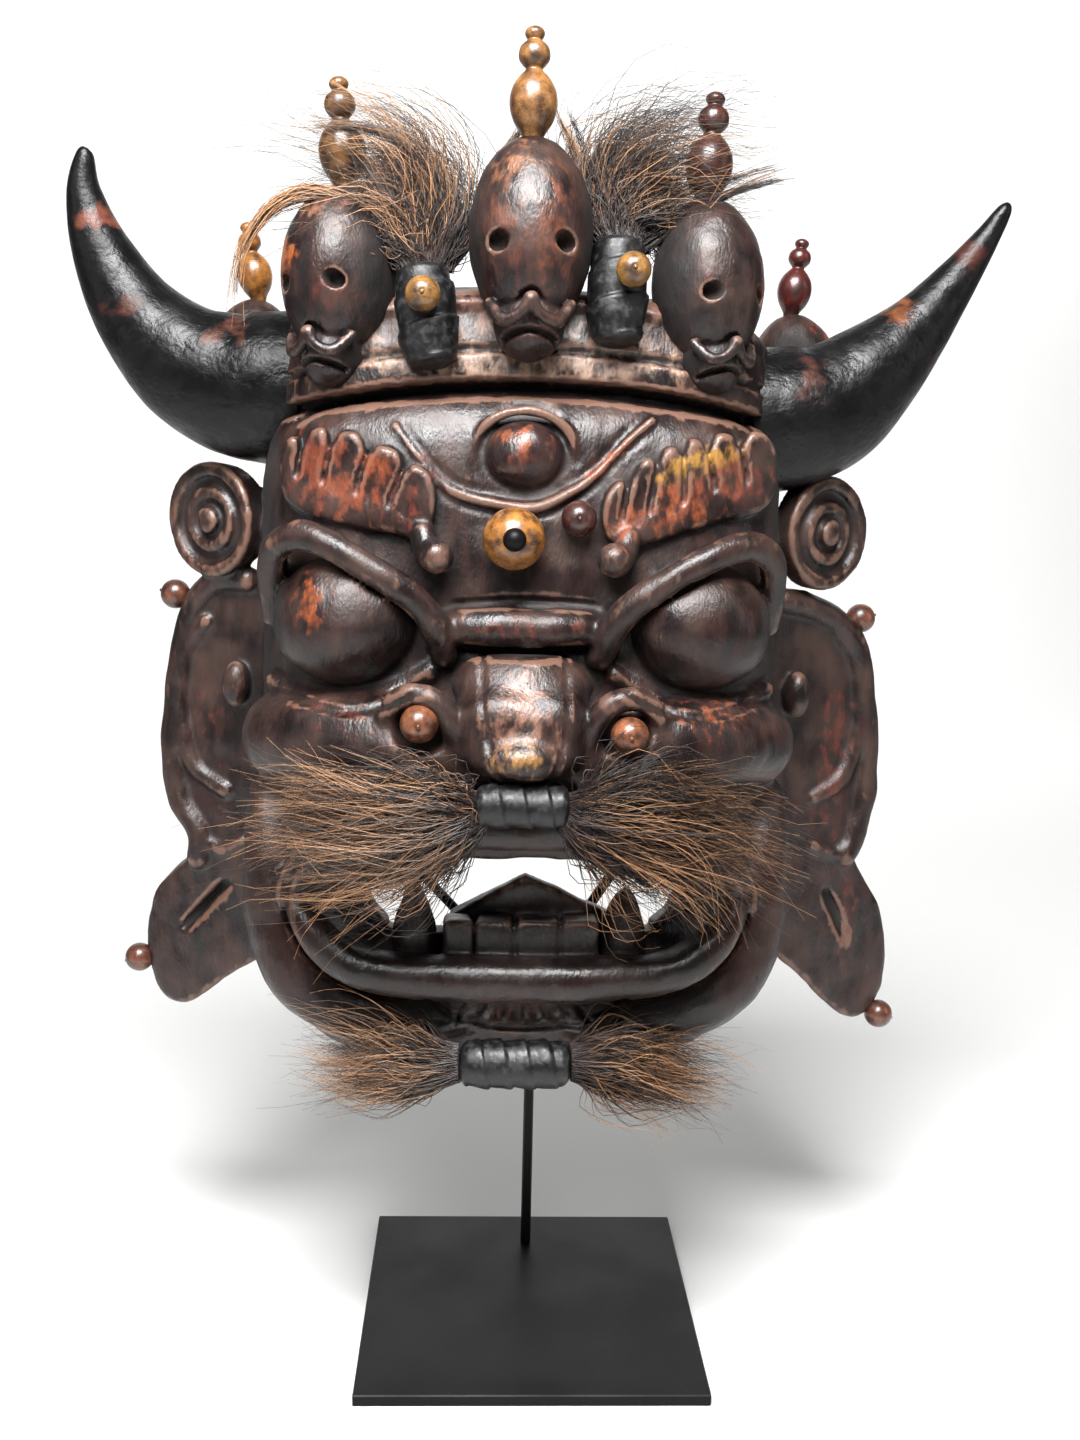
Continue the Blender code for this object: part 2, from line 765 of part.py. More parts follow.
def hair(name, stations, flat, finish):
    """A bunch of hair as one closed soft form."""
    shape = bmesh.new()
    roll(shape, stations, sides=10, steps=1, flat=flat, blunt=0.8)
    return new_object(name, mesh_of(name, shape), finish)


TUFT_LEFT = (
    (-40, -50, 317, 9), (-40, -42, 331, 14), (-45, -36, 345, 15), (-58, -32, 354, 10), (-70, -30, 352, 6),
)
TUFT_RIGHT = (
    (34, -49, 329, 8), (33, -42, 342, 12), (34, -36, 354, 14), (44, -32, 364, 12), (60, -30, 366, 7),
)
MOUSTACHE_LEFT = (
    (-17, -104, 112, 8), (-34, -104, 114, 19), (-58, -100, 116, 28), (-82, -92, 117, 29), (-99, -80, 116, 22),
)
MOUSTACHE_RIGHT = (
    (17, -104, 112, 8), (35, -104, 112, 19), (58, -100, 110, 27), (80, -91, 104, 30), (94, -80, 98, 24),
)
GOATEE_LEFT = ((-25, -79, 2, 9), (-40, -77, 0, 14), (-60, -74, -2, 14), (-79, -70, 0, 8))
GOATEE_RIGHT = ((25, -79, 3, 9), (40, -77, 2, 14), (60, -74, -1, 15), (83, -70, -4, 8))
TUFT_FLATNESS = 0.8
MOUSTACHE_FLATNESS = 0.42
GOATEE_FLATNESS = 0.8

# Ends of the wraps: foot and top of each tuft's leather root
TUFT_WRAPS = {
    "left": ((-37, -60, 272), (-41, -53, 311)),
    "right": ((33, -60, 282), (34, -52, 323)),
}
TUFT_BEADS = {"left": (-40, 298), "right": (38, 309)}

# Beads on the face, where x and v are seen from the front, and on the ears' edges, with the way out
FACE_BEADS = (
    ("bead_forehead", -4.5, 209, FOREHEAD_BEAD_RADIUS),
    ("bead_brow", 20, 217, BROW_BEAD_RADIUS),
    ("bead_nostril_left", -38.5, 141, NOSTRIL_BEAD_RADIUS),
    ("bead_nostril_right", 39.5, 138, NOSTRIL_BEAD_RADIUS),
)
EAR_BEAD_APPROACH = 0.05
EAR_BEADS = (
    ("bead_ear_left_upper", (-150, 178), (-1, 0.35)),
    ("bead_ear_left_lower", (-160, 12), (-1, -0.15)),
    ("bead_ear_right_upper", (148, 172), (1, 0.35)),
    ("bead_ear_right_lower", (160, -5), (1, -0.6)),
)


# Levels and reach of the rod's fork and of its two arms, which end under the hollow's ceiling
FORK_LEVEL = -12
SHOULDER = (52, 30, 60)
HOOK = (52, 22, 258)
ARM_TIP_DEPTH = 8


def base_plate(finish):
    """The square steel foot."""
    plate = bmesh.new()
    size = Matrix.Diagonal((PLATE_WIDTH, PLATE_DEPTH, PLATE_THICKNESS, 1.0))
    bmesh.ops.create_cube(plate, size=1.0, matrix=Matrix.Translation((0, 0, PLATE_THICKNESS / 2)) @ size)
    base = new_object("base_plate", mesh_of("base_plate", plate), finish)
    edge = base.modifiers.new("edge", "BEVEL")
    edge.width = PLATE_EDGE_BEVEL
    edge.segments = 1


def arm_routes(hollow_tree):
    """The routes of the rod and its left arm, and of its right arm."""
    depth = PLATE_DEPTH / 2 - ROD_FROM_BACK_EDGE
    foot = Vector((0, depth, PLATE_THICKNESS + GAP))
    fork = Vector((0, depth, CHIN_HEIGHT + FORK_LEVEL * UNIT))
    arms = []
    for side in (-1, 1):
        reach, _, level = SHOULDER
        inside = place(side * reach, ARM_TIP_DEPTH, level)
        ceiling, _, _, _ = hollow_tree.ray_cast(inside, Vector((0, 0, 1)))
        tip = ceiling - Vector((0, 0, GAP + ROD_DIAMETER / 2))
        bends = [place(side * x, y, v) for x, y, v in (SHOULDER, HOOK)]
        start = [foot, fork] if side < 0 else [fork]
        arms.append(start + bends + [tip])
    return arms


def rod(name, route, finish):
    """A round steel bar along a route of points, as a bevelled curve with closed ends."""
    curve = bpy.data.curves.new(name, "CURVE")
    curve.dimensions = "3D"
    curve.bevel_depth = ROD_DIAMETER / 2
    curve.bevel_resolution = 2
    curve.use_fill_caps = True
    spline = curve.splines.new("POLY")
    spline.points.add(len(route) - 1)
    for point, spot in zip(spline.points, route):
        point.co = (*spot, 1.0)
    thing = bpy.data.objects.new(name, curve)
    bpy.context.scene.collection.objects.link(thing)
    mesh = evaluated_mesh(thing, name)
    bpy.data.objects.remove(thing)
    shape = bmesh.new()
    shape.from_mesh(mesh)
    bmesh.ops.remove_doubles(shape, verts=shape.verts, dist=0.00001)
    return new_object(name, mesh_of(name, shape), finish)


def main():
    """Builds the mask and its stand."""
    for old in list(bpy.data.objects):
        bpy.data.objects.remove(old, do_unlink=True)
    wood = material("carved_wood", (0.06, 0.035, 0.03), 0.5)
    turned_wood = material("turned_wood", (0.16, 0.07, 0.03), 0.4)
    horn_black = material("horn_black", (0.02, 0.018, 0.018), 0.45)
    leather = material("black_leather", (0.015, 0.014, 0.014), 0.5)
    hair_brown = material("hair", (0.11, 0.075, 0.05), 0.7)
    steel = material("black_steel", (0.015, 0.015, 0.017), 0.4)

    block = carved_block()
    mask = new_object("mask", block, wood)
    tree = BVHTree.FromObject(mask, bpy.context.evaluated_depsgraph_get())
    mask_seat = swollen(mask, "seat_mask")
    hollow = hollow_cutter()
    hollow_tree = BVHTree.FromObject(hollow, bpy.context.evaluated_depsgraph_get())
    cut(mask, mouth_cutter(), "mouth")
    for index, (high, low) in enumerate(EAR_SLOTS):
        cut(mask, slot_cutter(index, high, low), f"slot_{index}")
    cut(mask, mouth_carving("join_teeth", lower_teeth), "teeth", "UNION")
    cut(mask, mouth_carving("join_tongue", tongue), "tongue", "UNION")
    cut(mask, back_cutter(), "flat_back")
    cut(mask, hollow, "hollow")

    template = skull_mesh()
    horns = []
    for name, stations in (("horn_left", HORN_LEFT), ("horn_right", HORN_RIGHT)):
        thing = horn(name, stations, horn_black)
        horns.append(swollen(thing, f"seat_{name}"))
        cut(thing, mask_seat, "seat_on_mask")
    crown = []
    groups = ((SKULLS, SKULL_HEIGHT, FINIAL_HEIGHT), (FAR_SKULLS, FAR_SKULL_HEIGHT, FAR_FINIAL_HEIGHT))
    for group, height, finial_height in groups:
        for label, (spot, turn, lean, share) in group.items():
            skull, top = crown_skull(label, spot, turn, lean, height * share, finial_height, template,
                                     turned_wood)
            crown.append(swollen(skull, f"seat_skull_{label}"))
            crown.append(swollen(top, f"seat_finial_{label}"))
            cut(skull, mask_seat, "seat_on_mask")
            if group is FAR_SKULLS:
                cut(skull, horns[0 if "left" in label else 1], "seat_on_horn")
            cut(top, crown[-2], "seat_on_skull")

    nostril_seats = []
    for name, x, v, radius in FACE_BEADS:
        depth = seat(tree, x, v) * UNIT - radius * (1 - SEAT_SHARE)
        thing = bead(name, Vector((place(x, 0, v).x, depth, place(x, 0, v).z)), radius, turned_wood)
        if "nostril" in name:
            nostril_seats.append(swollen(thing, f"seat_{name}"))
        cut(thing, mask_seat, "seat_on_mask")
    for name, (x, v), (out_x, out_v) in EAR_BEADS:
        outward = Vector((out_x, 0, out_v)).normalized()
        start = place(x, ear_front(x) + EAR_THICKNESS / UNIT * 0.4, v) + outward * EAR_BEAD_APPROACH
        hit, _, _, _ = tree.ray_cast(start, -outward)
        centre = hit + outward * EAR_BEAD_RADIUS * (1 - SEAT_SHARE)
        thing = bead(name, centre, EAR_BEAD_RADIUS, turned_wood)
        cut(thing, mask_seat, "seat_on_mask")

    for label, (foot, top) in TUFT_WRAPS.items():
        radii = [TUFT_WRAP_RADIUS * share for share in (0.75, 1.0, 1.05, 1.0, 0.85)]
        wrap = bound_roll(f"tuft_wrap_{label}", foot, top, radii, leather)
        wrap_seat = swollen(wrap, f"seat_tuft_wrap_{label}")
        cut(wrap, mask_seat, "seat_on_mask")
        for index, neighbour in enumerate(crown):
            cut(wrap, neighbour, f"clear_{index}")
        x, v = TUFT_BEADS[label]
        share = (v - foot[2]) / (top[2] - foot[2])
        middle = foot[1] + (top[1] - foot[1]) * share
        depth = middle * UNIT - TUFT_WRAP_RADIUS - TUFT_BEAD_RADIUS * (1 - 2 * SEAT_SHARE)
        spot = place(x, 0, v)
        thing = bead(f"bead_tuft_{label}", Vector((spot.x, depth, spot.z)), TUFT_BEAD_RADIUS, turned_wood)
        cut(thing, wrap_seat, "seat_on_wrap")
        stations = TUFT_LEFT if label == "left" else TUFT_RIGHT
        tuft = hair(f"tuft_hair_{label}", stations, TUFT_FLATNESS, hair_brown)
        cut(tuft, wrap_seat, "seat_on_wrap")
        cut(tuft, mask_seat, "seat_on_mask")
        for index, neighbour in enumerate(crown):
            cut(tuft, neighbour, f"clear_{index}")

    bound_pair("moustache", (0, -104, 112), MOUSTACHE_WRAP_LENGTH, MOUSTACHE_WRAP_RADIUS,
               (MOUSTACHE_LEFT, MOUSTACHE_RIGHT), MOUSTACHE_FLATNESS, [mask_seat] + nostril_seats,
               leather, hair_brown)
    bound_pair("goatee", (0, -79, 2), GOATEE_WRAP_LENGTH, GOATEE_WRAP_RADIUS,
               (GOATEE_LEFT, GOATEE_RIGHT), GOATEE_FLATNESS, [mask_seat], leather, hair_brown)

    base_plate(steel)
    left_route, right_route = arm_routes(hollow_tree)
    left = rod("stand_rod", left_route, steel)
    right = hide(rod("arm_right", right_route, steel))
    cut(left, right, "weld", "UNION")


def bound_pair(label, middle, length, radius, bunches, flatness, seats, leather, hair_brown):
    """Hair tied in the middle: a wrap across the face and a bunch to each side of it."""
    x, y, v = middle
    half = length / UNIT / 2
    radii = [radius * share for share in (0.9, 1.0, 0.94, 1.0, 0.9)]
    wrap = bound_roll(f"{label}_wrap", (x - half, y, v), (x + half, y, v), radii, leather)
    wrap_seat = swollen(wrap, f"seat_{label}_wrap")
    cut(wrap, seats[0], "seat_on_mask")
    for side, stations in zip(("left", "right"), bunches):
        bunch = hair(f"{label}_hair_{side}", stations, flatness, hair_brown)
        for index, neighbour in enumerate(seats + [wrap_seat]):
            cut(bunch, neighbour, f"seat_{index}")


main()
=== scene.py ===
"""Dance mask of a horned guardian on its steel stand: the carving, hair and finishes.

The carving is cut from a block of clay, which is a grid of signed distances in the carver's
millimetres: x from the face's middle line, y from the ears (the front is negative) and v up from
the chin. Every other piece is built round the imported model's own solids.
"""

from __future__ import annotations

import logging
import math
from dataclasses import dataclass, field
from enum import Enum
from typing import Callable, Iterable, Protocol, Sequence

import bmesh
import bpy
import numpy as np
from mathutils import Matrix, Vector


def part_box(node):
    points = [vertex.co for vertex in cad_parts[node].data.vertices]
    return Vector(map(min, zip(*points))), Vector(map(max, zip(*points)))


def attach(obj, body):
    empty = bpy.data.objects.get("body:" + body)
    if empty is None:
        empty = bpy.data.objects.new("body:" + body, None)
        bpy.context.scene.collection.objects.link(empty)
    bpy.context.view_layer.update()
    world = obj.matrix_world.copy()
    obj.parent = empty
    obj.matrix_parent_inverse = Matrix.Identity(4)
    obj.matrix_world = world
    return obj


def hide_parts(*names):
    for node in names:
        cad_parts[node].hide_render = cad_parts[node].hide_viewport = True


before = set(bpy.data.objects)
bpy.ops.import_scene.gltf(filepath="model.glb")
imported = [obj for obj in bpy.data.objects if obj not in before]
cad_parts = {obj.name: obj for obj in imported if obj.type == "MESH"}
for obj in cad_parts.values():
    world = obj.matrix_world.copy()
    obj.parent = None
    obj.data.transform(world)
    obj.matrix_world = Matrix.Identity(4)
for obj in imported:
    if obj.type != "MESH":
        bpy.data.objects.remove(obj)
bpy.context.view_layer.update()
LOG = logging.getLogger("dance_mask")

MILLIMETRE = 0.001
SIDE_SHIFT = -0.0105
CHIN_HEIGHT = 0.150
BACK = 37.2
WALL = 12.0
FAR = 40.0
SPAN_STEPS = 5
BODY = "root"

Spot = tuple[float, float, float]
Station = tuple[float, float, float, float]
Line = Sequence[tuple[float, float]]
Section = Callable[[int, np.ndarray], np.ndarray]
Material = bpy.types.Material
Mesh = bpy.types.Mesh
Socket = bpy.types.NodeSocket
Thing = bpy.types.Object
Tree = bpy.types.NodeTree


def to_metres(points: np.ndarray) -> np.ndarray:
    """Turns carver's millimetres into metres in the part's frame."""
    moved = np.asarray(points, dtype=np.float64) * MILLIMETRE
    return moved + np.array((SIDE_SHIFT, 0.0, CHIN_HEIGHT))


def to_carver(points: np.ndarray) -> np.ndarray:
    """Turns metres in the part's frame into carver's millimetres."""
    return (np.asarray(points) - np.array((SIDE_SHIFT, 0.0, CHIN_HEIGHT))) / MILLIMETRE


def smooth_path(points: Sequence[Sequence[float]], steps: int, closed: bool = False) -> np.ndarray:
    """Points along a smooth curve through the given ones.

    Args:
        points: Knots of any number of coordinates.
        steps: How many points each span gets.
        closed: Whether the curve runs back to its start.

    Returns:
        One row for each point.
    """
    knots = np.asarray(points, dtype=np.float64)
    count = len(knots)
    spans = count if closed else count - 1
    rows = []
    for span in range(spans):
        if closed:
            four = knots[[(span + shift) % count for shift in (-1, 0, 1, 2)]]
        else:
            four = knots[[max(span - 1, 0), span, span + 1, min(span + 2, count - 1)]]
        for step in range(steps):
            t = step / steps
            weights = 0.5 * np.array(
                (-t + 2 * t**2 - t**3, 2 - 5 * t**2 + 3 * t**3, t + 4 * t**2 - 3 * t**3, t**3 - t**2)
            )
            rows.append(weights @ four)
    if not closed:
        rows.append(knots[-1])
    return np.array(rows)


def soft_min(first: np.ndarray, second: np.ndarray, blend: float) -> np.ndarray:
    """The smaller of two distances, rounded over a blend where they are alike."""
    if blend <= 0:
        return np.minimum(first, second)
    share = np.clip(0.5 + 0.5 * (second - first) / blend, 0.0, 1.0)
    return second * (1 - share) + first * share - blend * share * (1 - share)


class Cut(Enum):
    """The section of a line pressed into the carving, from its middle to its edge."""

    KNIFE = "knife"
    GOUGE = "gouge"

    def section(self, share: np.ndarray) -> np.ndarray:
        """Depth as a share of the whole depth, at a share of the half width."""
        inner = np.clip(1.0 - share, 0.0, 1.0)
        if self is Cut.KNIFE:
            return inner
        return inner * inner * (3 - 2 * inner)


class Form(Protocol):
    """A solid that can be joined to the clay or taken from it."""

    def reach(self) -> tuple[Spot, Spot]:
        """Lowest and highest corner of the box that holds it."""

    def distance(self, x: np.ndarray, y: np.ndarray, v: np.ndarray) -> np.ndarray:
        """Signed distance of a grid of points, negative inside."""


@dataclass(frozen=True)
class Egg:
    """An egg: its middle, its three radii, and its turn about the upright and the depth axis."""

    centre: Spot
    radii: Spot
    turn: float = 0.0
    tilt: float = 0.0

    def reach(self) -> tuple[Spot, Spot]:
        """Lowest and highest corner of the box that holds it."""
        most = max(self.radii)
        return (
            tuple(c - most for c in self.centre),
            tuple(c + most for c in self.centre),
        )

    def distance(self, x: np.ndarray, y: np.ndarray, v: np.ndarray) -> np.ndarray:
        """Signed distance of a grid of points, near enough for blending."""
        spin = Matrix.Rotation(self.turn, 3, "Z") @ Matrix.Rotation(self.tilt, 3, "Y")
        across, deep, up = x - self.centre[0], y - self.centre[1], v - self.centre[2]
        near, slope = 0.0, 0.0
        for axis, radius in enumerate(self.radii):
            along = across * spin[0][axis] + deep * spin[1][axis] + up * spin[2][axis]
            near = near + (along / radius) ** 2
            slope = slope + (along / radius**2) ** 2
        near = np.sqrt(near)
        return near * (near - 1) / np.maximum(np.sqrt(slope), 1e-4)


@dataclass(frozen=True)
class Roll:
    """A round roll along stations of x, y, v and radius."""

    stations: Sequence[Station]
    steps: int = SPAN_STEPS
    margin: float = 7.0

    def path(self) -> np.ndarray:
        """The stations with smooth ones between them."""
        return smooth_path(self.stations, self.steps)

    def reach(self) -> tuple[Spot, Spot]:
        """Lowest and highest corner of the box that holds it."""
        path = self.path()
        most = path[:, 3].max()
        return tuple(path[:, :3].min(axis=0) - most), tuple(path[:, :3].max(axis=0) + most)

    def distance(self, x: np.ndarray, y: np.ndarray, v: np.ndarray) -> np.ndarray:
        """Signed distance of a grid of points, worked out span by span close to each span."""
        path = self.path()
        result = np.full(np.broadcast_shapes(x.shape, y.shape, v.shape), FAR, np.float32)
        axes = (x.ravel(), y.ravel(), v.ravel())
        for start, end in zip(path[:-1], path[1:]):
            room = max(start[3], end[3]) + self.margin
            part = []
            for axis, numbers in enumerate(axes):
                low = min(start[axis], end[axis]) - room
                high = max(start[axis], end[axis]) + room
                part.append(slice(*np.searchsorted(numbers, (low, high))))
            part = tuple(part)
            if result[part].size == 0:
                continue
            across = x[part[0]] - start[0]
            deep = y[:, part[1]] - start[1]
            up = v[:, :, part[2]] - start[2]
            line = end[:3] - start[:3]
            length = max(float(line @ line), 1e-6)
            along = np.clip((across * line[0] + deep * line[1] + up * line[2]) / length, 0.0, 1.0)
            gap = (across - along * line[0]) ** 2 + (deep - along * line[1]) ** 2
            gap = np.sqrt(gap + (up - along * line[2]) ** 2)
            gap -= start[3] + (end[3] - start[3]) * along
            result[part] = np.minimum(result[part], gap)
        return result


def outline_distance(outline: np.ndarray, x: np.ndarray, v: np.ndarray) -> np.ndarray:
    """Signed distance in the x and v plane to a closed outline, negative inside it."""
    shape = np.broadcast_shapes(x.shape, v.shape)
    nearest = np.full(shape, FAR * FAR, np.float32)
    inside = np.zeros(shape, bool)
    ends = np.roll(outline, -1, axis=0)
    for (ax, av), (bx, bv) in zip(outline, ends):
        lx, lv = bx - ax, bv - av
        along = np.clip(((x - ax) * lx + (v - av) * lv) / max(lx * lx + lv * lv, 1e-9), 0, 1)
        gap = (x - ax - along * lx) ** 2 + (v - av - along * lv) ** 2
        nearest = np.minimum(nearest, gap)
        crosses = (av > v) != (bv > v)
        side = x < lx * (v - av) / (lv if abs(lv) > 1e-9 else 1e-9) + ax
        inside ^= crosses & side
    return np.sqrt(nearest) * np.where(inside, -1.0, 1.0)


@dataclass(frozen=True)
class Board:
    """A board cut to an outline of x and v, between a front and a back that lean with x."""

    outline: Line
    front: Callable[[np.ndarray], np.ndarray]
    back: Callable[[np.ndarray], np.ndarray]
    depths: tuple[float, float]
    rounding: float = 3.0
    steps: int = 4

    def shape(self) -> np.ndarray:
        """The outline with its corners taken as a smooth closed curve."""
        if self.steps < 2:
            return np.asarray(self.outline, dtype=np.float64)
        return smooth_path(self.outline, self.steps, closed=True)

    def reach(self) -> tuple[Spot, Spot]:
        """Lowest and highest corner of the box that holds it."""
        points = self.shape()
        low, high = points.min(axis=0), points.max(axis=0)
        return (low[0], self.depths[0], low[1]), (high[0], self.depths[1], high[1])

    def distance(self, x: np.ndarray, y: np.ndarray, v: np.ndarray) -> np.ndarray:
        """Signed distance of a grid of points, with its edges rounded."""
        edge = outline_distance(self.shape(), x, v)
        faces = np.maximum(self.front(x) - y, y - self.back(x))
        return -soft_min(-edge, -faces, self.rounding)


def slab(outline: Line, near: float, far: float, rounding: float, steps: int = 4) -> Board:
    """A board with a flat front and a flat back."""
    return Board(outline, lambda x: near + 0 * x, lambda x: far + 0 * x, (near, far), rounding, steps)


@dataclass(frozen=True)
class Head:
    """The plain head, squared in front and flat behind, from stations up its height."""

    stations: Sequence[tuple[float, float, float]]
    squareness: float = 5.0
    flare: float = 0.085
    crown_drop: float = 13.0
    drop_from: float = 228.0
    drop_full: float = 262.0
    inset: float = 0.0
    back: float = BACK

    def reach(self) -> tuple[Spot, Spot]:
        """Lowest and highest corner of the box that holds it."""
        table = np.array(self.stations)
        widest = table[:, 1].max() * (1 + self.flare)
        top = table[:, 0].max()
        return (-widest, table[:, 2].min(), table[:, 0].min() - 6), (widest, self.back, top)

    def distance(self, x: np.ndarray, y: np.ndarray, v: np.ndarray) -> np.ndarray:
        """Signed distance of a grid of points, near enough for carving."""
        table = np.array(self.stations)
        ramp = np.clip((v - self.drop_from) / (self.drop_full - self.drop_from), 0.0, 1.0)
        level = v + self.crown_drop * ramp * np.minimum((x / 100.0) ** 2, 1.2)
        half = np.interp(level, table[:, 0], table[:, 1]).astype(np.float32) - self.inset
        front = np.interp(level, table[:, 0], table[:, 2]).astype(np.float32) + self.inset
        deep = np.clip((BACK - y) / (BACK - front), 0.0, 2.0)
        flared = half * (1 + self.flare * (1 - np.minimum(deep, 1.0)))
        side = np.abs(x) / flared
        power = self.squareness
        side_power, deep_power = side**power, deep**power
        total = side_power + deep_power
        scale = (side_power * flared + deep_power * (BACK - front)) / np.maximum(total, 1e-9)
        wall = (total ** (1 / power) - 1) * scale
        top, bottom = table[-1, 0] - self.inset, table[0, 0] + self.inset
        ends = np.maximum(level - top, bottom - level)
        result = -soft_min(-wall, -ends, 5.0)
        return np.maximum(result, y - self.back)


@dataclass
class Clay:
    """The block that is carved: signed distances on an even grid."""

    low: Spot
    high: Spot
    step: float
    values: np.ndarray = field(init=False, repr=False)

    def __post_init__(self) -> None:
        """Starts with nothing in the grid."""
        counts = [math.ceil((b - a) / self.step) + 1 for a, b in zip(self.low, self.high)]
        self.values = np.full(counts, FAR, np.float32)

    def window(self, low: Spot, high: Spot, margin: float) -> tuple[tuple, list[np.ndarray]]:
        """The part of the grid round a box.

        Args:
            low: The box's lowest corner.
            high: The box's highest corner.
            margin: How far past the box the window reaches.

        Returns:
            Slices into the grid, and the window's x, y and v as arrays that broadcast.
        """
        slices, axes = [], []
        for axis in range(3):
            first = max(int((low[axis] - margin - self.low[axis]) / self.step), 0)
            last = math.ceil((high[axis] + margin - self.low[axis]) / self.step) + 1
            last = min(last, self.values.shape[axis])
            shape = [1, 1, 1]
            shape[axis] = -1
            numbers = self.low[axis] + self.step * np.arange(first, last)
            slices.append(slice(first, last))
            axes.append(numbers.astype(np.float32).reshape(shape))
        return tuple(slices), axes

    def add(self, form: Form, blend: float = 2.0) -> None:
        """Joins a form on, with its edge filled over the blend."""
        part, axes = self.window(*form.reach(), margin=8.0)
        self.values[part] = soft_min(self.values[part], form.distance(*axes), blend)

    def take(self, form: Form, blend: float = 1.0) -> None:
        """Takes a form away, with its edge rounded over the blend."""
        part, axes = self.window(*form.reach(), margin=5.0)
        self.values[part] = -soft_min(-self.values[part], form.distance(*axes), blend)

    def press(
        self,
        line: Line,
        width: float,
        depth: float,
        depths: tuple[float, float],
        cut: Cut = Cut.GOUGE,
        ends: float = 0.0,
    ) -> None:
        """Presses a line of x and v into what faces the front, or raises it where depth is negative.

        Args:
            line: Knots of the line.
            width: Its half width.
            depth: How deep its middle is.
            depths: The nearest and furthest y that it reaches.
            cut: Its section.
            ends: Share of the line over which each end runs out.
        """
        path = smooth_path(line, SPAN_STEPS)
        low = (path[:, 0].min() - width, depths[0], path[:, 1].min() - width)
        high = (path[:, 0].max() + width, depths[1], path[:, 1].max() + width)
        part, (x, _, v) = self.window(low, high, margin=0.0)
        best = np.zeros(np.broadcast_shapes(x.shape, v.shape), np.float32)
        spans = len(path) - 1
        for span, ((ax, av), (bx, bv)) in enumerate(zip(path[:-1], path[1:])):
            lx, lv = bx - ax, bv - av
            along = np.clip(((x - ax) * lx + (v - av) * lv) / max(lx * lx + lv * lv, 1e-9), 0, 1)
            gap = np.sqrt((x - ax - along * lx) ** 2 + (v - av - along * lv) ** 2)
            strength = cut.section(gap / width)
            if ends > 0:
                run = (span + along) / spans
                strength = strength * np.clip(np.minimum(run, 1 - run) / ends, 0.0, 1.0)
            best = np.maximum(best, strength)
        self.values[part] += depth * best

    def sink(
        self,
        outline: Line,
        depth: float,
        edge: float,
        depths: tuple[float, float],
        steps: int = 4,
    ) -> None:
        """Sinks the area inside an outline of x and v, with a bank as wide as edge."""
        shape = smooth_path(outline, steps, closed=True)
        low = (shape[:, 0].min(), depths[0], shape[:, 1].min())
        high = (shape[:, 0].max(), depths[1], shape[:, 1].max())
        part, (x, _, v) = self.window(low, high, margin=0.0)
        share = np.clip(-outline_distance(shape, x, v) / edge, 0.0, 1.0)
        self.values[part] += depth * share * share * (3 - 2 * share)

    def roughen(self, size: float, height: float, seed: int) -> None:
        """Leaves the dents of a tool: soft noise of a size and a height."""
        spread = [(b - a) / size for a, b in zip(self.low, self.high)]
        counts = [math.ceil(number) + 3 for number in spread]
        lattice = np.random.default_rng(seed).uniform(-1, 1, counts).astype(np.float32)
        noise = lattice
        for axis in range(3):
            place = np.arange(self.values.shape[axis]) * self.step / size
            whole = place.astype(int)
            share = (place - whole).astype(np.float32)
            share = share * share * (3 - 2 * share)
            form = [1, 1, 1]
            form[axis] = -1
            share = share.reshape(form)
            noise = np.take(noise, whole, axis) * (1 - share) + np.take(noise, whole + 1, axis) * share
        self.values += height * noise

    def sample(self, grid: np.ndarray, points: np.ndarray) -> np.ndarray:
        """Values of a grid of the clay's own size at points between its corners."""
        place = (points - np.array(self.low)) / self.step
        place = np.clip(place, 0, np.array(grid.shape) - 1.001)
        whole = place.astype(int)
        share = place - whole
        result = np.zeros(len(points))
        for corner in range(8):
            bits = ((corner >> 2) & 1, (corner >> 1) & 1, corner & 1)
            weight = np.ones(len(points))
            for axis, bit in enumerate(bits):
                weight *= share[:, axis] if bit else 1 - share[:, axis]
            index = tuple(whole[:, axis] + bits[axis] for axis in range(3))
            result += weight * grid[index]
        return result

    def skin(self) -> tuple[np.ndarray, np.ndarray]:
        """The surface where the distance is nothing.

        Returns:
            Points in carver's millimetres, and faces of four points each that face outwards.
        """
        values = self.values
        inside = values < 0
        corners = [
            inside[i : i - 1 or None, j : j - 1 or None, k : k - 1 or None]
            for i in (0, 1)
            for j in (0, 1)
            for k in (0, 1)
        ]
        some = corners[0].copy()
        every = corners[0].copy()
        for corner in corners[1:]:
            some |= corner
            every &= corner
        mixed = some & ~every
        cells = np.argwhere(mixed)
        number = np.full(mixed.shape, -1, np.int64)
        number[mixed] = np.arange(len(cells))
        total = np.zeros((len(cells), 3))
        count = np.zeros(len(cells))
        for axis in range(3):
            others = [other for other in range(3) if other != axis]
            for bits in ((0, 0), (0, 1), (1, 0), (1, 1)):
                start = cells.copy()
                start[:, others[0]] += bits[0]
                start[:, others[1]] += bits[1]
                end = start.copy()
                end[:, axis] += 1
                first = values[tuple(start.T)]
                second = values[tuple(end.T)]
                crossed = (first < 0) != (second < 0)
                share = first[crossed] / (first[crossed] - second[crossed])
                spot = start[crossed].astype(np.float64)
                spot[:, axis] += share
                total[crossed] += spot
                count[crossed] += 1
        points = total / count[:, None] * self.step + np.array(self.low)
        faces = []
        for axis in range(3):
            second, third = (axis + 1) % 3, (axis + 2) % 3
            here = np.moveaxis(inside, axis, 0)
            changed = np.moveaxis(here[:-1] != here[1:], 0, axis)
            edges = np.argwhere(changed)
            keep = (edges[:, second] > 0) & (edges[:, third] > 0)
            keep &= edges[:, second] < number.shape[second]
            keep &= edges[:, third] < number.shape[third]
            edges = edges[keep]
            ring = []
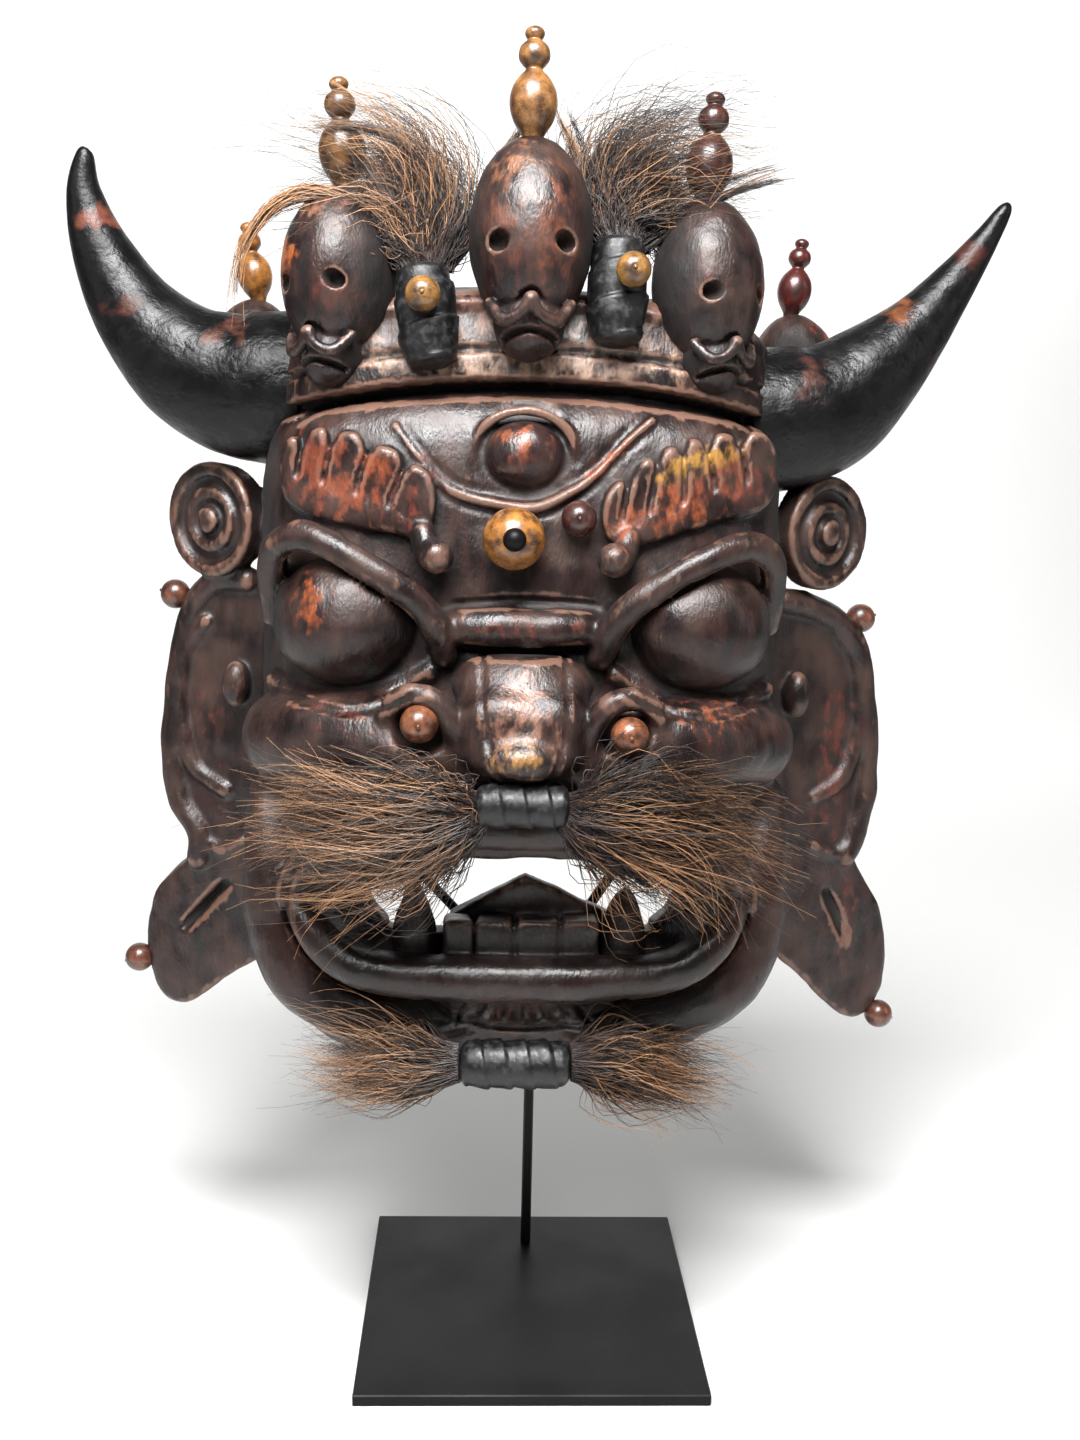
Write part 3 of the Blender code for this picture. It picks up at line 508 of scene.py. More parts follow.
            for back_second, back_third in ((1, 1), (0, 1), (0, 0), (1, 0)):
                cell = edges.copy()
                cell[:, second] -= back_second
                cell[:, third] -= back_third
                ring.append(number[tuple(cell.T)])
            quads = np.stack(ring, axis=1)
            flipped = ~inside[tuple(edges.T)]
            quads[flipped] = quads[flipped][:, ::-1]
            faces.append(quads)
        return points, np.concatenate(faces)


def blurred(grid: np.ndarray, passes: int) -> np.ndarray:
    """A grid softened by neighbours along each axis, as many times as passes."""
    result = grid.astype(np.float32)
    for _ in range(passes):
        for axis in range(3):
            moved = np.moveaxis(result, axis, 0)
            soft = moved.copy()
            soft[1:-1] = (moved[:-2] + 2 * moved[1:-1] + moved[2:]) / 4
            result = np.moveaxis(soft, 0, axis)
    return result


def hex_colour(code: str) -> tuple[float, float, float, float]:
    """An sRGB hex value as a linear colour."""
    parts = [int(code[i : i + 2], 16) / 255 for i in (0, 2, 4)]
    linear = [p / 12.92 if p <= 0.04045 else ((p + 0.055) / 1.055) ** 2.4 for p in parts]
    return (*linear, 1.0)


def add_node(
    tree: Tree, kind: str, settings: dict | None = None, inputs: dict | None = None
) -> bpy.types.Node:
    """Adds a node to a tree.

    Args:
        tree: The material's or the geometry's node tree.
        kind: The node's type.
        settings: Values of the node's own options.
        inputs: Values of its sockets, or the sockets that lead to them, by name or place.

    Returns:
        The new node.
    """
    node = tree.nodes.new(kind)
    for name, value in (settings or {}).items():
        setattr(node, name, value)
    for name, value in (inputs or {}).items():
        if isinstance(value, Socket):
            tree.links.new(value, node.inputs[name])
        else:
            node.inputs[name].default_value = value
    return node


def ramp(
    tree: Tree, value: Socket, low: float, high: float, start: float = 0.0, end: float = 1.0
) -> Socket:
    """A value that runs softly from start to end while another runs from low to high."""
    settings = {"interpolation_type": "SMOOTHSTEP"}
    inputs = {"Value": value, "From Min": low, "From Max": high, "To Min": start, "To Max": end}
    return add_node(tree, "ShaderNodeMapRange", settings, inputs).outputs["Result"]


def blend_colours(tree: Tree, share: Socket, first: Socket | str, second: Socket | str) -> Socket:
    """Two colours, as sockets or hex values, mixed by a share."""
    first, second = (hex_colour(part) if isinstance(part, str) else part for part in (first, second))
    inputs = {0: share, 6: first, 7: second}
    return add_node(tree, "ShaderNodeMix", {"data_type": "RGBA"}, inputs).outputs[2]


def sum_up(tree: Tree, how: str, first: Socket, second: Socket | float) -> Socket:
    """One step of arithmetic."""
    return add_node(tree, "ShaderNodeMath", {"operation": how}, {0: first, 1: second}).outputs[0]


def plus_times(tree: Tree, base: Socket, extra: Socket, gain: float) -> Socket:
    """A value with another added to it, the other one times a gain."""
    return sum_up(tree, "ADD", base, sum_up(tree, "MULTIPLY", extra, gain))


def plus_noise(tree: Tree, base: Socket, noise: Socket, gain: float) -> Socket:
    """A value with noise added to it, the noise taken from its middle and times a gain."""
    return plus_times(tree, base, sum_up(tree, "SUBTRACT", noise, 0.5), gain)


def stored(tree: Tree, name: str) -> Sequence[Socket]:
    """The outputs of one of the mesh's own attributes."""
    return add_node(tree, "ShaderNodeAttribute", {"attribute_name": name}).outputs


def grain(tree: Tree, where: Socket, size: float, detail: float = 3.0, stretch: Spot = (1, 1, 1)) -> Socket:
    """Noise whose patches have a size in millimetres, drawn longer along some axes."""
    scale = tuple(1 / part for part in stretch)
    mapped = add_node(tree, "ShaderNodeMapping", None, {"Vector": where, "Scale": scale})
    inputs = {"Vector": mapped.outputs[0], "Scale": 1 / (size * MILLIMETRE), "Detail": detail}
    return add_node(tree, "ShaderNodeTexNoise", None, inputs).outputs[0]


def start_material(name: str, **constants: float) -> tuple[Material, Tree, bpy.types.Node, Socket]:
    """A new material with its numbers set on the shader's own sockets.

    Args:
        name: What the finish is.
        **constants: Values of the Principled shader, with _ for the spaces in their names.

    Returns:
        The material, its tree, its shader and the place on the object.
    """
    material = bpy.data.materials.new(name)
    material.use_nodes = True
    tree = material.node_tree
    shader = tree.nodes["Principled BSDF"]
    for key, value in constants.items():
        shader.inputs[key.replace("_", " ")].default_value = value
    where = add_node(tree, "ShaderNodeTexCoord").outputs["Object"]
    return material, tree, shader, where


def dress(tree: Tree, colour: Socket, rough: Socket, height: Socket, deep: float, strength: float) -> None:
    """Leads a colour, a roughness and a relief so many millimetres deep into the tree's shader."""
    inputs = {"Height": height, "Distance": deep * MILLIMETRE, "Strength": strength}
    bump = add_node(tree, "ShaderNodeBump", None, inputs).outputs[0]
    for name, value in (("Base Color", colour), ("Roughness", rough), ("Normal", bump)):
        tree.links.new(value, tree.nodes["Principled BSDF"].inputs[name])


@dataclass(frozen=True)
class CarvedWood:
    """Old softwood, knife cut, painted over and rubbed dark with butter in smoky rooms.

    The eye gets a satin brown-black, paler where hands wore the edges, dull in the hollows, with
    flakes of red, orange and gold paint left on it. Shade is painted in as well: the colour goes
    near-black in the hollows and on faces that turn sideways.
    """

    name: str = "smoked_carved_wood"
    dark: str = "140D0D"
    middle: str = "2C1C19"
    bare: str = "644A3E"
    # Near-black colour for the shade painted into the hollows and onto sideways faces.
    shade_and_grime: str = "070505"
    fleck_size: float = 7.0
    flake_size: float = 4.4
    pore_size: float = 1.1

    def build(self) -> Material:
        """Makes the material; it reads the attributes for wear, for painted shade in the hollows and on
        sideways faces, and for paint.
        """
        material, tree, _, where = start_material(self.name, IOR=1.5, Specular_IOR_Level=0.42)
        wear, shade_and_grime, paint = stored(tree, "wear")["Fac"], stored(tree, "shade_and_grime")["Fac"], stored(tree, "paint")
        broad = grain(tree, where, self.fleck_size * 3, 4.0)
        fine = grain(tree, where, self.fleck_size, 5.0, (1, 1, 2.5))
        flakes = grain(tree, where, self.flake_size, 5.0, (1, 1, 1.6))
        pores = grain(tree, where, self.pore_size, 3.0, (1, 1, 2))
        colour = blend_colours(tree, ramp(tree, fine, 0.38, 0.66), self.dark, self.middle)
        rubbed = sum_up(tree, "MULTIPLY", ramp(tree, broad, 0.42, 0.7), 0.22)
        edge = plus_noise(tree, wear, flakes, 1.1)
        bare = sum_up(tree, "MAXIMUM", ramp(tree, edge, 0.42, 0.85), rubbed)
        colour = blend_colours(tree, bare, colour, self.bare)
        left = plus_noise(tree, paint["Alpha"], flakes, 1.7)
        faded = blend_colours(tree, ramp(tree, pores, 0.35, 0.75, 0.1, 0.5), paint["Color"], colour)
        colour = blend_colours(tree, ramp(tree, left, 0.34, 0.80), colour, faded)
        # Painted shade: the colour is pulled towards near-black where the shade attribute is high, in the
        # hollows and on sideways faces.
        shade_and_grime_mix = sum_up(tree, "MULTIPLY", shade_and_grime, ramp(tree, fine, 0.2, 0.8, 0.7, 1.0))
        colour = blend_colours(tree, shade_and_grime_mix, colour, self.shade_and_grime)
        rough = plus_times(tree, ramp(tree, broad, 0.3, 0.7, 0.28, 0.46), shade_and_grime, 0.5)
        dents = plus_times(tree, fine, pores, 0.34)
        dents = plus_times(tree, dents, ramp(tree, left, 0.44, 0.62), 0.08)
        dress(tree, colour, rough, dents, 0.9, 0.7)
        return material


@dataclass(frozen=True)
class BlackHorn:
    """Carved horns blackened and waxed, with brown bands where the black is rubbed through."""

    name: str = "blackened_horn"
    dark: str = "0A090A"

    def build(self) -> Material:
        """Makes the material; it reads the attribute paint for its bands."""
        material, tree, _, where = start_material(self.name, IOR=1.5, Specular_IOR_Level=0.26)
        paint = stored(tree, "paint")
        patches = grain(tree, where, 9.0, 5.0)
        fine = grain(tree, where, 2.5, 4.0)
        worn = plus_noise(tree, paint["Alpha"], patches, 2.0)
        colour = blend_colours(tree, ramp(tree, worn, 0.38, 0.95), self.dark, paint["Color"])
        rough = ramp(tree, patches, 0.3, 0.7, 0.27, 0.44)
        dress(tree, colour, rough, plus_times(tree, patches, fine, 0.35), 1.4, 0.6)
        return material


@dataclass(frozen=True)
class BlackLeather:
    """A strip of black leather wound wet and dried tight: creased, with a dull shine."""

    name: str = "black_leather_strip"
    dark: str = "0B0B0C"
    grey: str = "2A292B"

    def build(self) -> Material:
        """Makes the material."""
        material, tree, _, where = start_material(self.name, IOR=1.48)
        creases = grain(tree, where, 3.0, 5.0)
        colour = blend_colours(tree, ramp(tree, creases, 0.5, 0.75), self.dark, self.grey)
        dress(tree, colour, ramp(tree, creases, 0.3, 0.7, 0.34, 0.6), creases, 0.5, 0.6)
        return material


@dataclass(frozen=True)
class YakHair:
    """Coarse yak hair: dark brown roots, some strands paler, with bleached tan tips."""

    name: str
    root: str = "0C0808"
    brown: str = "2E1E18"
    tan: str = "B98A62"

    def build(self) -> Material:
        """Makes the material; it reads the attributes tone and along of each strand."""
        material, tree, shader, _ = start_material(self.name, IOR=1.55, Roughness=0.42)
        tone, along = stored(tree, "tone")["Fac"], stored(tree, "along")["Fac"]
        colour = blend_colours(tree, ramp(tree, tone, 0.1, 0.8), self.root, self.brown)
        bleach = sum_up(tree, "MULTIPLY", ramp(tree, tone, 0.55, 0.92), ramp(tree, along, 0.05, 0.75))
        colour = blend_colours(tree, bleach, colour, self.tan)
        tree.links.new(colour, shader.inputs["Base Color"])
        return material


@dataclass(frozen=True)
class BlackenedSteel:
    """Mild steel, blackened and waxed: an even near-black satin with specks of dust."""

    name: str = "blackened_steel"
    dark: str = "08080A"
    dust: str = "3A3C3E"

    def build(self) -> Material:
        """Makes the material."""
        material, tree, _, where = start_material(self.name, IOR=1.5, Specular_IOR_Level=0.16)
        clouds, specks = grain(tree, where, 40.0, 4.0), grain(tree, where, 1.1, 1.0)
        colour = blend_colours(tree, ramp(tree, specks, 0.72, 0.8, 0.0, 0.35), self.dark, self.dust)
        dress(tree, colour, ramp(tree, clouds, 0.3, 0.7, 0.38, 0.5), specks, 0.05, 0.3)
        return material


def new_object(name: str, data: bpy.types.ID) -> Thing:
    """A new object in the scene's own collection."""
    thing = bpy.data.objects.new(name, data)
    bpy.context.scene.collection.objects.link(thing)
    return thing


def mesh_object(name: str, points: np.ndarray, faces: Iterable[Sequence[int]], material: Material) -> Thing:
    """A new smooth-shaded object of points in metres, with its place in its mesh.

    Args:
        name: The piece's name.
        points: Its points in metres.
        faces: Its faces as rows of point numbers.
        material: Its finish.

    Returns:
        The object.
    """
    mesh = bpy.data.meshes.new(name)
    mesh.from_pydata(np.asarray(points).tolist(), [], [list(map(int, face)) for face in faces])
    mesh.validate()
    mesh.shade_smooth()
    mesh.materials.append(material)
    return new_object(name, mesh)


def quick_mesh(name: str, points: np.ndarray, quads: np.ndarray) -> Mesh:
    """A mesh of a great many quads, filled in one go."""
    mesh = bpy.data.meshes.new(name)
    mesh.vertices.add(len(points))
    mesh.vertices.foreach_set("co", points.astype(np.float32).ravel())
    mesh.loops.add(quads.size)
    mesh.loops.foreach_set("vertex_index", quads.astype(np.int32).ravel())
    mesh.polygons.add(len(quads))
    mesh.polygons.foreach_set("loop_start", np.arange(0, quads.size, 4, dtype=np.int32))
    mesh.update(calc_edges=True)
    return mesh


def mesh_points(mesh: Mesh) -> np.ndarray:
    """A mesh's points as rows."""
    flat = np.zeros(len(mesh.vertices) * 3, np.float32)
    mesh.vertices.foreach_get("co", flat)
    return flat.reshape(-1, 3).astype(np.float64)


def set_attribute(mesh: Mesh, name: str, values: np.ndarray) -> None:
    """Keeps a number or a colour at each point of a mesh."""
    kind, key = ("FLOAT_COLOR", "color") if values.ndim == 2 else ("FLOAT", "value")
    mesh.attributes.new(name, kind, "POINT").data.foreach_set(key, values.astype(np.float32).ravel())


def baked(thing: Thing) -> Mesh:
    """The mesh of an object with its modifiers worked out."""
    graph = bpy.context.evaluated_depsgraph_get()
    return bpy.data.meshes.new_from_object(thing.evaluated_get(graph), depsgraph=graph)


def settle(thing: Thing) -> None:
    """Makes what an object's modifiers do part of its mesh."""
    mesh = baked(thing)
    old = thing.data
    thing.modifiers.clear()
    thing.data = mesh
    bpy.data.meshes.remove(old)


def finish_piece(thing: Thing, slot: str, *nodes: str) -> Thing:
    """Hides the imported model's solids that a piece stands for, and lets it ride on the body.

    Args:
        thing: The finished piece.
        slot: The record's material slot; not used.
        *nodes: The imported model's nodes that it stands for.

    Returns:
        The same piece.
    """
    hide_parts(*nodes)
    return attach(thing, BODY)


@dataclass(frozen=True)
class Patch:
    """A patch of old paint, also used for painted shade, an oval of x and v that fades out at its edge."""

    x: float
    v: float
    across: float
    up: float
    colour: str
    amount: float = 0.9
    turn: float = 0.0
    soft: float = 0.5

    def weight(self, points: np.ndarray) -> np.ndarray:
        """How much paint is left at each point."""
        dx, dv = points[:, 0] - self.x, points[:, 2] - self.v
        along = dx * math.cos(self.turn) + dv * math.sin(self.turn)
        beside = dv * math.cos(self.turn) - dx * math.sin(self.turn)
        out = np.sqrt((along / self.across) ** 2 + (beside / self.up) ** 2)
        return np.clip((1 + self.soft - out) / (2 * self.soft), 0.0, 1.0) * self.amount


def painted(points: np.ndarray, patches: Iterable[Patch]) -> np.ndarray:
    """The colour of paint, painted shade included, at each point, with its amount as alpha."""
    result = np.zeros((len(points), 4))
    result[:, :3] = hex_colour("5A2418")[:3]
    for patch in patches:
        weight = patch.weight(points)
        colour = np.array(hex_colour(patch.colour)[:3])
        share = (weight / np.maximum(weight + result[:, 3] * 0.5, 1e-6))[:, None]
        result[:, :3] = result[:, :3] * (1 - share) + colour * share
        result[:, 3] = np.maximum(result[:, 3], weight)
    return result


@dataclass(frozen=True)
class Ageing:
    """How worn edges, painted shade in the hollows and painted shade on sideways faces are told from the
    clay.
    """

    fine_passes: int = 2
    broad_passes: int = 10
    edge: float = 0.30
    hollow: float = 1.1
    # How dark the painted shade on faces that turn sideways is.
    side_shade: float = 0.9
    sideways: float = 0.72
    hidden: float = 0.7

    def mark(self, mesh: Mesh, clay: Clay, patches: Iterable[Patch]) -> None:
        """Keeps wear, painted shade and paint at each point of a carved mesh."""
        spots = mesh_points(mesh)
        small = blurred(np.clip(clay.values, -6.0, 6.0), self.fine_passes)
        large = blurred(small, self.broad_passes)
        edge = clay.sample(small, spots) / (clay.step * self.edge)
        hollow = clay.sample(large, spots) / (clay.step * self.hollow)
        normals = np.zeros(3 * len(spots))
        mesh.vertices.foreach_get("normal", normals)
        normals = normals.reshape(-1, 3)
        # Painted shade: faces that turn sideways are marked dark, and are shown less worn.
        side_shade_share = self.side_shade * np.clip(4.0 * (np.abs(normals[:, 0]) - self.sideways), 0.0, 1.0)
        set_attribute(mesh, "wear", np.clip(edge, 0.0, 1.0) * (1 - side_shade_share))
        # Painted shade: the blurred clay darkens the hollows, joined with the sideways faces; the same share
        # also makes them duller.
        set_attribute(mesh, "shade_and_grime", np.maximum(np.clip(-hollow * 0.8 - 0.1, 0.0, 0.9), side_shade_share))
        colours = painted(spots, patches)
        colours[:, 3] *= np.clip(self.hidden - 2.0 * normals[:, 1], 0.0, 1.0)
        set_attribute(mesh, "paint", colours)


def carved_piece(name: str, clay: Clay, material: Material, patches: Iterable[Patch], limit: int) -> Thing:
    """Turns clay into a thinned-out mesh that knows its worn edges, its hollows and its paint.

    Args:
        name: The piece's name.
        clay: The finished clay, in carver's millimetres.
        material: Its finish.
        patches: Where paint is left, painted shade included.
        limit: About how many triangles are kept.

    Returns:
        The object, still in carver's millimetres.
    """
    points, quads = clay.skin()
    thing = new_object(name, quick_mesh(name, points, quads))
    thin = thing.modifiers.new("thin", "DECIMATE")
    thin.ratio = min(1.0, limit / (2 * len(quads)))
    settle(thing)
    mesh = thing.data
    mesh.shade_smooth()
    mesh.materials.clear()
    mesh.materials.append(material)
    Ageing().mark(mesh, clay, patches)
    return thing


def on_side(side: int, stations: Iterable[Sequence[float]]) -> list[tuple[float, ...]]:
    """Stations on the face's left side where side is -1, and as they are where it is 1."""
    return [(side * station[0], *station[1:]) for station in stations]


HEAD_LOW = (
    (-18, 60, -28), (-8, 82, -46), (6, 93, -56), (24, 100, -62), (50, 103, -61), (85, 104, -68),
    (115, 104, -71), (150, 104, -70), (185, 104, -70), (215, 104, -68), (240, 103, -66), (254, 101, -62),
    (262, 99, -56),
)
HEAD_CROWN = (
    (265, 95, -47), (268, 95, -47), (270, 99, -56), (279, 99, -55), (280, 98, -52.5), (282, 98, -52.5),
    (283, 99, -54), (295, 98, -50), (299, 98, -51), (303, 96, -48), (307, 86, -36),
)
EAR_LEFT = (
    (-104, 186), (-122, 191), (-137, 189), (-148, 176), (-154, 147), (-158, 111), (-155, 88),
    (-146, 73), (-146, 62), (-155, 53), (-164, 42), (-168, 22), (-167, 6), (-160, -7),
    (-150, -9), (-137, 0), (-123, 11), (-108, 24), (-96, 60), (-96, 150),
)
EAR_RIGHT = (
    (104, 186), (119, 187), (132, 184), (146, 177), (157, 160), (164, 125), (165, 97),
    (161, 75), (156, 66), (163, 53), (173, 36), (177, 18), (177, 1), (171, -11),
    (161, -14), (147, -6), (131, 11), (108, 34), (96, 60), (96, 150),
)


def ear_front(x: np.ndarray) -> np.ndarray:
    """Depth of an ear's front, which leans back away from the head."""
    return -6 + 0.42 * (np.abs(x) - 104)


def ear_back(x: np.ndarray) -> np.ndarray:
    """Depth of an ear's back."""
    return ear_front(x) + 16


@dataclass(frozen=True)
class Rosette:
    """The turned disc above an ear: a profile of height and radius, spun and turned outwards."""

    side: int
    centre: Spot = (130, 4, 212)
    radius: float = 24.5
    half: float = 6.5
    turn: float = 0.62

    def profile(self) -> np.ndarray:
        """Closed profile of radius and height, with its rings."""
        r, h = self.radius, self.half
        rows = (
            (0, -h), (0.96 * r, -h), (r, h - 2), (0.97 * r, h - 0.4), (0.86 * r, h), (0.78 * r, h - 0.6),
            (0.73 * r, h - 3.2), (0.60 * r, h - 3.2), (0.55 * r, h - 0.6), (0.47 * r, h), (0.38 * r, h - 0.6),
            (0.34 * r, h - 2.8), (0.25 * r, h - 2.8), (0.21 * r, h + 0.8), (0.12 * r, h + 2.0), (0, h + 2.3),
        )
        return np.array(rows)

    def reach(self) -> tuple[Spot, Spot]:
        """Lowest and highest corner of the box that holds it."""
        x, y, v = self.side * self.centre[0], self.centre[1], self.centre[2]
        r = self.radius
        return (x - r, y - r, v - r), (x + r, y + r, v + r)

    def distance(self, x: np.ndarray, y: np.ndarray, v: np.ndarray) -> np.ndarray:
        """Signed distance of a grid of points."""
        across, deep, up = x - self.side * self.centre[0], y - self.centre[1], v - self.centre[2]
        cosine, sine = math.cos(self.side * self.turn), math.sin(self.side * self.turn)
        along = across * cosine + deep * sine
        height = -(deep * cosine - across * sine)
        reach = np.sqrt(along**2 + up**2)
        return outline_distance(self.profile(), reach, height + 0 * reach)


@dataclass
class Carving:
    """The mask itself: one block with the face, the ears, the rosettes and the crown band."""

    step: float = 1.2
    limit: int = 190_000
    eyeball: Egg = Egg((68, -60, 176), (29, 27, 26))
    lid: Sequence[Station] = (
        (99, -50, 176, 4.0), (98, -58, 192, 5.5), (95, -65, 203, 6.0), (86, -72, 208, 6.0),
        (76, -77, 206, 5.5), (64, -80, 200, 5.5), (52, -81, 193, 5.5), (42, -80, 186, 5.5),
        (34, -77, 176, 5.5), (30, -72, 164, 5.0),
    )
    lower_lid: Sequence[Station] = (
        (99, -50, 150, 3.0), (86, -60, 145, 3.5), (68, -66, 144, 3.5), (50, -69, 149, 3.5),
        (36, -70, 157, 3.5),
    )
    cheek: Sequence[Station] = (
        (24, -80, 128, 15), (46, -77, 130, 18), (72, -68, 130, 19), (93, -50, 128, 18),
    )
    ear_fold: Sequence[Spot] = ((4, 168, 4), (14, 155, 4.5), (17, 130, 4.5), (11, 104, 4.5), (-4, 94, 4))
    wing: Sequence[Station] = (
        (24, -86, 116, 3.5), (25, -91, 130, 4.2), (27, -94, 142, 4.4), (34, -95, 150, 4.4),
        (43, -93, 151, 4.4), (50, -90, 145, 4.2), (52, -86, 133, 3.5),
    )
    jowl: Sequence[Station] = (
        (101, -44, 104, 9), (99, -52, 78, 12), (97, -55, 52, 13), (88, -58, 32, 13), (73, -58, 20, 13),
        (52, -58, 16, 12), (30, -56, 16, 11),
    )
    upper_lip: Sequence[Station] = (
        (91, -66, 68, 6), (84, -70, 80, 7), (66, -76, 92, 8), (38, -82, 98, 9), (0, -84, 99, 9),
    )
    lower_lip: Sequence[Station] = (
        (91, -66, 70, 5), (85, -72, 59, 7), (73, -75, 47, 8.5), (58, -77, 40, 9), (34, -78, 37.5, 9.5),
        (0, -79, 37, 9.5),
    )
    brow_left: Line = (
        (-93, 222), (-95, 234), (-92, 244), (-88, 245.5), (-86, 242), (-82, 248), (-77, 248.5), (-74.5, 243),
        (-70, 247.5), (-64, 247), (-60, 240), (-56, 242.5), (-49, 240.5), (-46, 234), (-42, 235.5),
        (-36, 231), (-34.5, 222), (-36, 213), (-41, 208), (-50, 209.5), (-60, 210), (-70, 212.5), (-82, 215),
    )
    brow_right: Line = (
        (95, 224), (98, 233), (98, 243), (93, 250), (87, 251.5), (82, 246), (79, 250), (73, 250), (69, 243),
        (66, 247), (62, 247.5), (59.5, 242), (56, 244.5), (52, 243.5), (49.5, 238), (46, 240), (42, 237.5),
        (38.5, 231), (35, 232), (30, 226), (28.5, 217), (31, 209), (38, 206), (48, 208), (60, 212), (74, 216),
        (86, 219),
    )
    locks_left: Sequence[Line] = (
        ((-88, 224), (-87.5, 234), (-86, 243)),
        ((-77, 219), (-77, 232), (-74.5, 244.5)),
        ((-65, 214), (-64, 229), (-60, 241.5)),
        ((-53, 212), (-51, 224), (-46, 235.5)),
    )
    locks_right: Sequence[Line] = (
        ((84, 224), (85, 235), (82, 247)),
        ((70, 221), (72, 232), (69, 244.5)),
        ((57, 215), (60, 227), (59.5, 243)),
        ((45, 210), (47, 223), (49.5, 239)),
        ((36, 210), (36.5, 220), (38.5, 232)),
    )
    tooth_edges: Sequence[float] = (-30, -17, -1, 17, 33)
    mouth: Line = (
        (-60, 66), (-52, 54), (-42, 50), (45, 50), (55, 54), (64, 66), (52, 78), (21, 82), (-17, 82),
        (-48, 78),
    )
    mouth_rim: Line = (
        (-76, 66), (-64, 51), (-40, 47), (44, 47), (66, 51), (80, 66), (66, 82), (40, 88), (-36, 88),
        (-62, 82),
    )
    tongue: Line = ((-31, 38), (38, 38), (38, 58), (3, 74), (-27, 57))

    def model(self, material: Material) -> Thing:
        """Carves the block and returns the finished piece.

        Args:
            material: The wood's finish.

        Returns:
            The mask, with its place in its mesh.
        """
        clay = Clay((-184, -116, -26), (182, 42, 314), self.step)
        stations = [tuple(row) for row in smooth_path(HEAD_LOW, 3)] + list(HEAD_CROWN)
        clay.add(Head(stations), 0.0)
        self.add_ears(clay)
        self.add_face(clay)
        self.add_third_eye(clay)
        self.add_nose(clay)
        self.add_brows(clay)
        self.add_eyes(clay)
        self.add_lips(clay)
        self.open_mouth(clay)
        self.cut_lines(clay)
        clay.roughen(11.0, 0.55, 5)
        clay.roughen(5.0, 0.25, 6)
        self.hollow(clay)
        thing = carved_piece("carved_mask", clay, material, self.paint(), self.limit)
        thing.data.transform(Matrix.Translation((SIDE_SHIFT, 0, CHIN_HEIGHT)) @ Matrix.Scale(MILLIMETRE, 4))
        return thing

    def add_ears(self, clay: Clay) -> None:
        """Joins on the long ears with their folds, and the rosettes above them."""
        for side, outline in ((-1, EAR_LEFT), (1, EAR_RIGHT)):
            clay.add(Board(outline, ear_front, ear_back, (-12, 42), 3.5), 2.0)
            rim = [(x - side * 5, v - 4 if v > 170 else v, 5.5) for x, v in outline[1:9]]
            clay.add(self.on_ear(rim, 0.5), 2.0)
            middle, lobe = outline[5][0] - side * 26, outline[7][0]
            clay.add(self.on_ear([(middle + side * dx, v, r) for dx, v, r in self.ear_fold], 1), 1.5)
            clay.add(Egg((side * 122, -3, 142), (6, 6, 10)), 3.0)
            crescent = [(lobe - side * inward, 72 - dip, 3.2) for inward, dip in ((6, 0), (16, 5), (26, 0))]
            clay.add(self.on_ear(crescent, 1), 1.5)
            clay.add(Rosette(side), 2.0)

    def on_ear(self, stations: Iterable[Spot], sunk: float) -> Roll:
        """A roll along an ear's front through stations of x, v and radius."""
        return Roll([(x, float(ear_front(x)) + sunk, v, radius) for x, v, radius in stations])

    def add_face(self, clay: Clay) -> None:
        """Joins on the cheeks, the jowls and the chin."""
        for side in (-1, 1):
            for form in (self.cheek, self.jowl):
                clay.add(Roll(on_side(side, form), margin=9), 6.0)
        clay.add(Egg((0, -60, 30), (35, 15, 17)), 5.0)

    def add_third_eye(self, clay: Clay) -> None:
        """Carves the eye on the forehead and the bow of lines that frames it."""
        bed = ((-24, 236), (-12, 258), (0, 264), (12, 258), (22, 240), (12, 226), (-12, 225))
        clay.sink(bed, 1.6, 4.0, (-90, -40))
        ring = []
        for step in range(24):
            angle = math.pi / 2 + 2 * math.pi * step / 24
            ring.append((-1 + 19.5 * math.cos(angle), 241 + 16.0 * math.sin(angle)))
        rim = [(x, -64.8 + 0.0035 * (x + 1) ** 2, v, 1.9) for x, v in ring + ring[:1]]
        clay.add(Roll(rim, steps=2), 1.2)
        clay.add(Egg((-1, -62, 240), (15.2, 12.0, 13.4)), 0.6)
        field_line = (
            (-50, -62, 250, 1.4), (-40, -64.5, 237, 1.7), (-29, -66, 226.5, 2.0), (-14, -67.5, 222, 2.3),
            (3, -68, 220.5, 2.4), (16, -67.5, 226, 2.3), (26, -66.5, 233, 2.0), (37, -64.5, 245, 1.6),
            (48, -61, 255, 1.2),
        )
        clay.add(Roll(field_line), 1.6)
        clay.press([(x, v + 4.2) for x, _, v, _ in field_line], 2.6, 0.9, (-90, -40), ends=0.1)
        clay.press([(x, v - 3.6) for x, _, v, _ in field_line], 2.4, 0.9, (-90, -40), ends=0.1)

